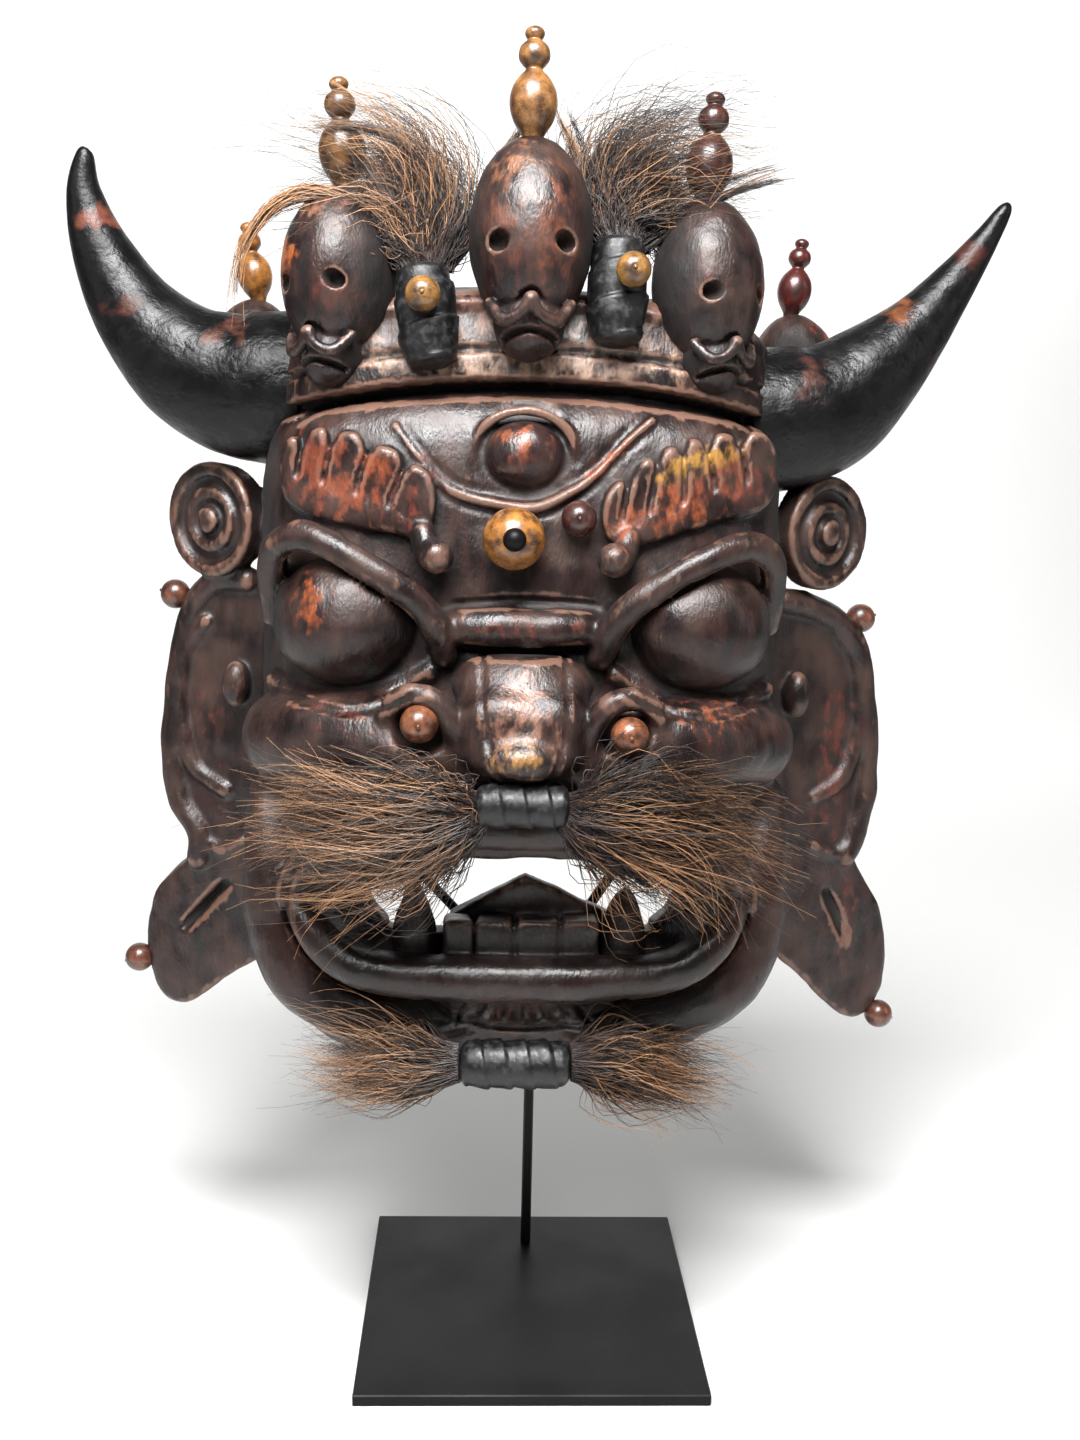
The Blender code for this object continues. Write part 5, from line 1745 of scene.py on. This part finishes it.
@dataclass
class Bunch:
    """One bunch of hair: strands that leave a wrap and fan out along a middle line."""

    node: str
    stations: Sequence[Station]
    count: int
    thickness: float
    flatness: float
    seed: int
    spread: float = 1.0
    droop: float = 6.0
    wild: float = 5.0
    longest: float = 1.25
    shortest: float = 0.45
    pale: float = 0.5
    points: int = 11
    front: float = -116.0
    clump_size: int = 26
    lock_share: int = 22
    locks: Sequence[Sequence[Station]] = ()

    def strands(self) -> tuple[np.ndarray, np.ndarray]:
        """Works out every strand of the bunch and of its loose locks.

        Returns:
            Points in carver's millimetres by strand, and each strand's tone.
        """
        random = np.random.default_rng(self.seed)
        parts = [self.grow(random, self.stations, self.count, self.wild, self.shortest)]
        parts += [
            self.grow(random, lock, self.count // self.lock_share, self.wild * 0.12, 0.7)
            for lock in self.locks
        ]
        return np.concatenate([part[0] for part in parts]), np.concatenate([part[1] for part in parts])

    def grow(
        self,
        random: np.random.Generator,
        stations: Sequence[Station],
        count: int,
        wild: float,
        shortest: float,
    ) -> tuple[np.ndarray, np.ndarray]:
        """Grows strands along one middle line, drawn together into clumps that bend each their way.

        Args:
            random: Where chance comes from.
            stations: The middle line with its radius.
            count: How many strands.
            wild: How far strands stray, in millimetres.
            shortest: The shortest strand's share of the length.

        Returns:
            Points by strand, and each strand's tone.
        """
        rows = smooth_path(stations, 8)
        path, radii = rows[:, :3], rows[:, 3]
        clumps = max(count // self.clump_size, 3)
        clump = random.integers(0, clumps, count)
        angle, out = random.uniform(0, 2 * math.pi, count), np.sqrt(random.uniform(0, 1, count))
        clump_angle = random.uniform(0, 2 * math.pi, clumps)[clump]
        clump_out = np.sqrt(random.uniform(0, 1, clumps))[clump]
        length = random.uniform(shortest, 1.0, count) ** 0.7
        length = length * np.where(random.uniform(0, 1, count) < 0.10, self.longest, 1.0)
        flat = np.array((1.0, self.flatness * 0.6, 1.0))
        bend, wave = (
            (random.normal(size=(count, 3)) * own + random.normal(size=(clumps, 3))[clump] * shared)
            * wild
            * flat
            for own, shared in ((0.8, 1.7), (0.4, 0.7))
        )
        phase = random.uniform(0, 2 * math.pi, clumps)[clump] + random.normal(size=count) * 0.4
        pace = random.uniform(4.0, 9.0, clumps)[clump]
        result = np.zeros((count, self.points, 3))
        last = len(path) - 1
        for step in range(self.points):
            share = step / (self.points - 1) * length
            place = share * last
            whole = np.clip(place.astype(int), 0, last - 1)
            part = (place - whole)[:, None]
            centre = path[whole] * (1 - part) + path[whole + 1] * part
            near_end = np.minimum(part[:, 0], 1)
            size = radii[whole] * (1 - near_end) + radii[whole + 1] * near_end
            tangent = path[whole + 1] - path[whole]
            tangent /= np.linalg.norm(tangent, axis=1)[:, None]
            across = np.cross(tangent, (0.0, 1.0, 0.0))
            across /= np.linalg.norm(across, axis=1)[:, None]
            forth = np.cross(across, tangent)
            pull = np.minimum(0.95 * share, 0.86)[:, None]
            a, b = (
                (turn(angle) * out)[:, None] * (1 - pull) + (turn(clump_angle) * clump_out)[:, None] * pull
                for turn in (np.cos, np.sin)
            )
            spot = centre + (across * a + forth * b * self.flatness) * size[:, None] * self.spread
            sway = (np.sin(share * pace + phase) - np.sin(phase))[:, None]
            spot = spot + bend * (share**2)[:, None] + wave * sway * np.minimum(share * 2, 1)[:, None]
            spot[:, 2] -= self.droop * share**2
            spot[:, 1] = np.maximum(spot[:, 1], self.front + 0.25 * (spot[:, 1] - self.front))
            result[:, step] = spot
        clump_tone = random.beta(0.9, 1.3, clumps)[clump]
        tone = np.clip(clump_tone * 0.75 + random.uniform(0, 0.45, count) + (self.pale - 0.5) * 0.5, 0, 1)
        return result, tone

    def guide(self) -> Thing:
        """The strands as bare edges, each point with its strand's tone."""
        strands, tone = self.strands()
        count, points, _ = strands.shape
        mesh = bpy.data.meshes.new(f"{self.node}_guide")
        numbers = np.arange(count * points).reshape(count, points)
        edges = np.stack((numbers[:, :-1].ravel(), numbers[:, 1:].ravel()), axis=1)
        mesh.from_pydata(to_metres(strands.reshape(-1, 3)).tolist(), edges.tolist(), [])
        set_attribute(mesh, "tone", np.repeat(tone, points))
        return new_object(f"{self.node}_strands", mesh)


def strand_tree() -> Tree:
    """Geometry Nodes that turn edges into tapered hairs, thinner to the tip and slightly frizzed."""
    tree = bpy.data.node_groups.new("hair_strands", "GeometryNodeTree")
    for name, kind in (
        ("Strands", "NodeSocketGeometry"),
        ("Thickness", "NodeSocketFloat"),
        ("Sides", "NodeSocketInt"),
        ("Frizz", "NodeSocketFloat"),
        ("Seed", "NodeSocketFloat"),
        ("Material", "NodeSocketMaterial"),
    ):
        tree.interface.new_socket(name, in_out="INPUT", socket_type=kind)
    tree.interface.new_socket("Hair", in_out="OUTPUT", socket_type="NodeSocketGeometry")
    given = add_node(tree, "NodeGroupInput").outputs
    curves = add_node(tree, "GeometryNodeMeshToCurve", None, {0: given["Strands"]})
    along = add_node(tree, "GeometryNodeSplineParameter").outputs["Factor"]
    kept = add_node(
        tree,
        "GeometryNodeStoreNamedAttribute",
        {"data_type": "FLOAT", "domain": "POINT"},
        {"Geometry": curves.outputs[0], "Name": "along", "Value": along},
    )
    place = add_node(tree, "GeometryNodeInputPosition").outputs[0]
    inputs = {"Vector": place, "W": given["Seed"], "Scale": 160.0, "Detail": 1.0}
    noise = add_node(tree, "ShaderNodeTexNoise", {"noise_dimensions": "4D"}, inputs)
    inputs = {0: noise.outputs["Color"], 1: (0.5, 0.5, 0.5)}
    centred = add_node(tree, "ShaderNodeVectorMath", {"operation": "SUBTRACT"}, inputs)
    much = sum_up(tree, "MULTIPLY", given["Frizz"], along)
    inputs = {0: centred.outputs[0], "Scale": much}
    offset = add_node(tree, "ShaderNodeVectorMath", {"operation": "SCALE"}, inputs)
    inputs = {"Geometry": kept.outputs[0], "Offset": offset.outputs[0]}
    moved = add_node(tree, "GeometryNodeSetPosition", None, inputs)
    taper = ramp(tree, along, 0.2, 1.0, 1.0, 0.25)
    width = sum_up(tree, "MULTIPLY", given["Thickness"], taper)
    inputs = {"Resolution": given["Sides"], "Radius": 1.0}
    circle = add_node(tree, "GeometryNodeCurvePrimitiveCircle", None, inputs)
    inputs = {"Curve": moved.outputs[0], "Profile Curve": circle.outputs[0], "Scale": width}
    hair = add_node(tree, "GeometryNodeCurveToMesh", None, {**inputs, "Fill Caps": True})
    smooth = add_node(tree, "GeometryNodeSetShadeSmooth", None, {"Geometry": hair.outputs[0]})
    real = add_node(tree, "GeometryNodeRealizeInstances", None, {"Geometry": smooth.outputs[0]})
    inputs = {"Geometry": real.outputs[0], "Material": given["Material"]}
    dressed = add_node(tree, "GeometryNodeSetMaterial", None, inputs)
    add_node(tree, "NodeGroupOutput", None, {"Hair": dressed.outputs[0]})
    return tree


@dataclass
class Hair:
    """All the hair: two tufts on the crown, the moustache and the goatee."""

    sides: int = 3
    frizz: float = 3.2
    bunches: Sequence[Bunch] = (
        Bunch(
            "tuft_hair_left",
            (
                (-41, -52, 308, 7), (-42, -48, 320, 13), (-46, -44, 334, 19), (-58, -42, 345, 25),
                (-78, -42, 346, 22),
            ),
            2400, 0.22, 0.7, 21, 1.25, 0.0, 6.5, 1.2, 0.3, 0.5,
            locks=(
                (
                    (-34, -50, 310, 4), (-30, -46, 330, 5), (-38, -44, 350, 4), (-58, -46, 362, 3),
                    (-84, -50, 361, 2),
                ),
                (
                    (-40, -50, 316, 3), (-60, -52, 330, 3), (-88, -56, 336, 2.5), (-108, -58, 318, 2),
                    (-112, -60, 296, 1),
                ),
                ((-34, -48, 312, 4), (-20, -44, 330, 4), (-14, -42, 350, 3), (-4, -42, 366, 1)),
            ),
        ),
        Bunch(
            "tuft_hair_right",
            (
                (34, -51, 320, 7), (33, -46, 330, 13), (37, -42, 342, 19), (50, -40, 350, 22),
                (74, -40, 350, 16),
            ),
            2400, 0.22, 0.7, 22, 1.25, 0.0, 6.5, 1.2, 0.3, 0.42,
            locks=(
                ((30, -48, 322, 4), (22, -44, 340, 5), (18, -42, 356, 5), (10, -42, 372, 3)),
                ((40, -48, 320, 4), (58, -46, 332, 4), (76, -46, 344, 3), (98, -48, 350, 1)),
            ),
        ),
        Bunch(
            "moustache_hair_left",
            (
                (-15, -104, 110, 7), (-27, -106, 107, 14), (-46, -104, 105, 19), (-68, -98, 106, 21),
                (-88, -88, 105, 19),
            ),
            4200, 0.20, 0.55, 23, 1.1, 6.0, 6.5, 1.12, 0.2, 0.66,
        ),
        Bunch(
            "moustache_hair_right",
            (
                (15, -104, 110, 7), (28, -106, 107, 14), (48, -104, 104, 19), (68, -96, 99, 21),
                (84, -86, 90, 18),
            ),
            4200, 0.20, 0.55, 24, 1.1, 6.0, 6.5, 1.12, 0.2, 0.58,
        ),
        Bunch(
            "goatee_hair_left",
            ((-22, -79, 2, 7), (-38, -77, 1, 12), (-56, -74, 1, 14), (-76, -70, 3, 12)),
            2100, 0.21, 0.8, 25, 1.1, 4.0, 4.5, 1.12, 0.25, 0.70,
        ),
        Bunch(
            "goatee_hair_right",
            ((22, -79, 3, 7), (38, -77, 3, 13), (56, -74, 1, 15), (78, -70, -5, 12)),
            2100, 0.21, 0.8, 26, 1.1, 4.0, 4.5, 1.12, 0.25, 0.68,
        ),
    )

    def model(self, material: Material) -> list[Thing]:
        """Grows every bunch with Geometry Nodes and makes it a plain mesh.

        Args:
            material: The hair's finish.

        Returns:
            The pieces.
        """
        tree = strand_tree()
        sockets = {item.name: item.identifier for item in tree.interface.items_tree if item.in_out == "INPUT"}
        pieces = []
        for bunch in self.bunches:
            thing = bunch.guide()
            grow = thing.modifiers.new("strands", "NODES")
            grow.node_group = tree
            grow[sockets["Thickness"]] = bunch.thickness * MILLIMETRE
            grow[sockets["Sides"]] = self.sides
            grow[sockets["Frizz"]] = self.frizz * MILLIMETRE
            grow[sockets["Seed"]] = float(bunch.seed)
            grow[sockets["Material"]] = material
            settle(thing)
            pieces.append(finish_piece(thing, "hair", bunch.node))
            LOG.info("%s: %d strands, %d faces", thing.name, bunch.count, len(thing.data.polygons))
        return pieces


@dataclass
class Studio:
    """The camera where the photographer stood, a white sweep and soft lights."""

    lens: float = 35.65
    sensor: float = 36.0
    spot: Spot = (-0.0248, -0.6177, 0.3749)
    yaw: float = math.radians(2.24)
    pitch: float = math.radians(8.9)
    roll: float = math.radians(1.34)
    sweep_half: float = 3.2
    sweep_near: float = -2.2
    sweep_far: float = 2.6
    sweep_tall: float = 2.8
    sweep_bend: float = 0.7
    world_light: float = 0.09

    def build(self) -> None:
        """Makes the camera, the sweep, the world and the lamps."""
        bpy.context.scene.view_settings.view_transform = "Standard"
        self.add_camera()
        self.add_sweep()
        self.add_world()
        self.add_lamps()

    def add_camera(self) -> None:
        """Sets the camera at the photograph's viewing angle."""
        ahead = Vector((
            math.sin(self.yaw) * math.cos(self.pitch),
            math.cos(self.yaw) * math.cos(self.pitch),
            -math.sin(self.pitch),
        ))
        level = Vector((math.cos(self.yaw), -math.sin(self.yaw), 0))
        above = level.cross(ahead)
        right = level * math.cos(self.roll) + above * math.sin(self.roll)
        up = above * math.cos(self.roll) - level * math.sin(self.roll)
        data = bpy.data.cameras.new("camera")
        data.lens = self.lens
        data.sensor_width = self.sensor
        data.clip_start = 0.01
        camera = new_object("camera", data)
        columns = Matrix((right, up, -ahead)).transposed().to_4x4()
        camera.matrix_world = Matrix.Translation(self.spot) @ columns
        bpy.context.scene.camera = camera

    def add_sweep(self) -> None:
        """Lays the pale floor, which curves up behind."""
        material, tree, shader, _ = start_material("matt_white_paper", Roughness=0.9, IOR=1.4)
        shader.inputs["Base Color"].default_value = hex_colour("EDEDEC")
        profile = [(self.sweep_near, 0.0)]
        bend = self.sweep_bend
        for index in range(13):
            angle = math.pi / 2 * index / 12
            profile.append((self.sweep_far - bend + bend * math.sin(angle), bend - bend * math.cos(angle)))
        profile.append((self.sweep_far, self.sweep_tall))
        points = [(x, y, z) for y, z in profile for x in (-self.sweep_half, self.sweep_half)]
        faces = [(2 * i, 2 * i + 1, 2 * i + 3, 2 * i + 2) for i in range(len(profile) - 1)]
        sweep = mesh_object("floor_sweep", np.array(points), faces, material)

    def add_world(self) -> None:
        """Fills the shadows from all round."""
        world = bpy.data.worlds.new("studio")
        world.use_nodes = True
        background = world.node_tree.nodes["Background"]
        background.inputs["Color"].default_value = (1, 1, 1, 1)
        background.inputs["Strength"].default_value = self.world_light
        bpy.context.scene.world = world

    def add_lamps(self) -> None:
        """Hangs a soft box above, a small card in front, a fill on each side and a wash on the wall."""
        for name, spot, aim, size, power in (
            ("soft_box_above", (-0.07, -0.50, 0.98), (0, 0, 0.38), (0.52, 0.28), 22.0),
            ("card_in_front", (-0.26, -0.80, 0.86), (0, 0, 0.44), (0.30, 0.20), 4.2),
            ("fill_left", (-1.3, -0.55, 0.80), (0, 0, 0.38), (0.5, 1.1), 1.8),
            ("fill_right", (1.3, -0.55, 0.80), (0, 0, 0.38), (0.5, 1.1), 2.2),
            ("back_wash", (0.0, 1.35, 1.8), (0, 2.5, 0.5), (3.2, 0.5), 46.0),
        ):
            data = bpy.data.lights.new(name, "AREA")
            data.shape = "RECTANGLE"
            data.size, data.size_y = size
            data.energy = power
            lamp = new_object(name, data)
            turn = (Vector(spot) - Vector(aim)).to_track_quat("Z", "Y").to_matrix().to_4x4()
            lamp.matrix_world = Matrix.Translation(spot) @ turn


def main() -> None:
    """Builds the pieces in order and reports each one."""
    logging.basicConfig(level=logging.INFO, format="%(message)s")
    Studio().build()
    wood = CarvedWood().build()
    steel = BlackenedSteel().build()
    for node in ("base_plate", "stand_rod"):
        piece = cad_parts[node]
        piece.data.materials.clear()
        piece.data.materials.append(steel)
        LOG.info("%s keeps its solid", node)
    mask = Carving().model(wood)
    finish_piece(mask, "carved_wood", "mask")
    LOG.info("carved_mask: %d faces", len(mask.data.polygons))
    turned_wood = TurnedWood()
    pieces = Crown().model(wood, turned_wood)
    pieces += Horns().model(BlackHorn().build())
    pieces += Beads().model(turned_wood, steel)
    pieces += Bindings().model(BlackLeather().build())
    for piece in pieces:
        LOG.info("%s: %d faces", piece.name, len(piece.data.polygons))
    Hair().model(YakHair("yak_hair").build())


if __name__ == "__main__":
    main()
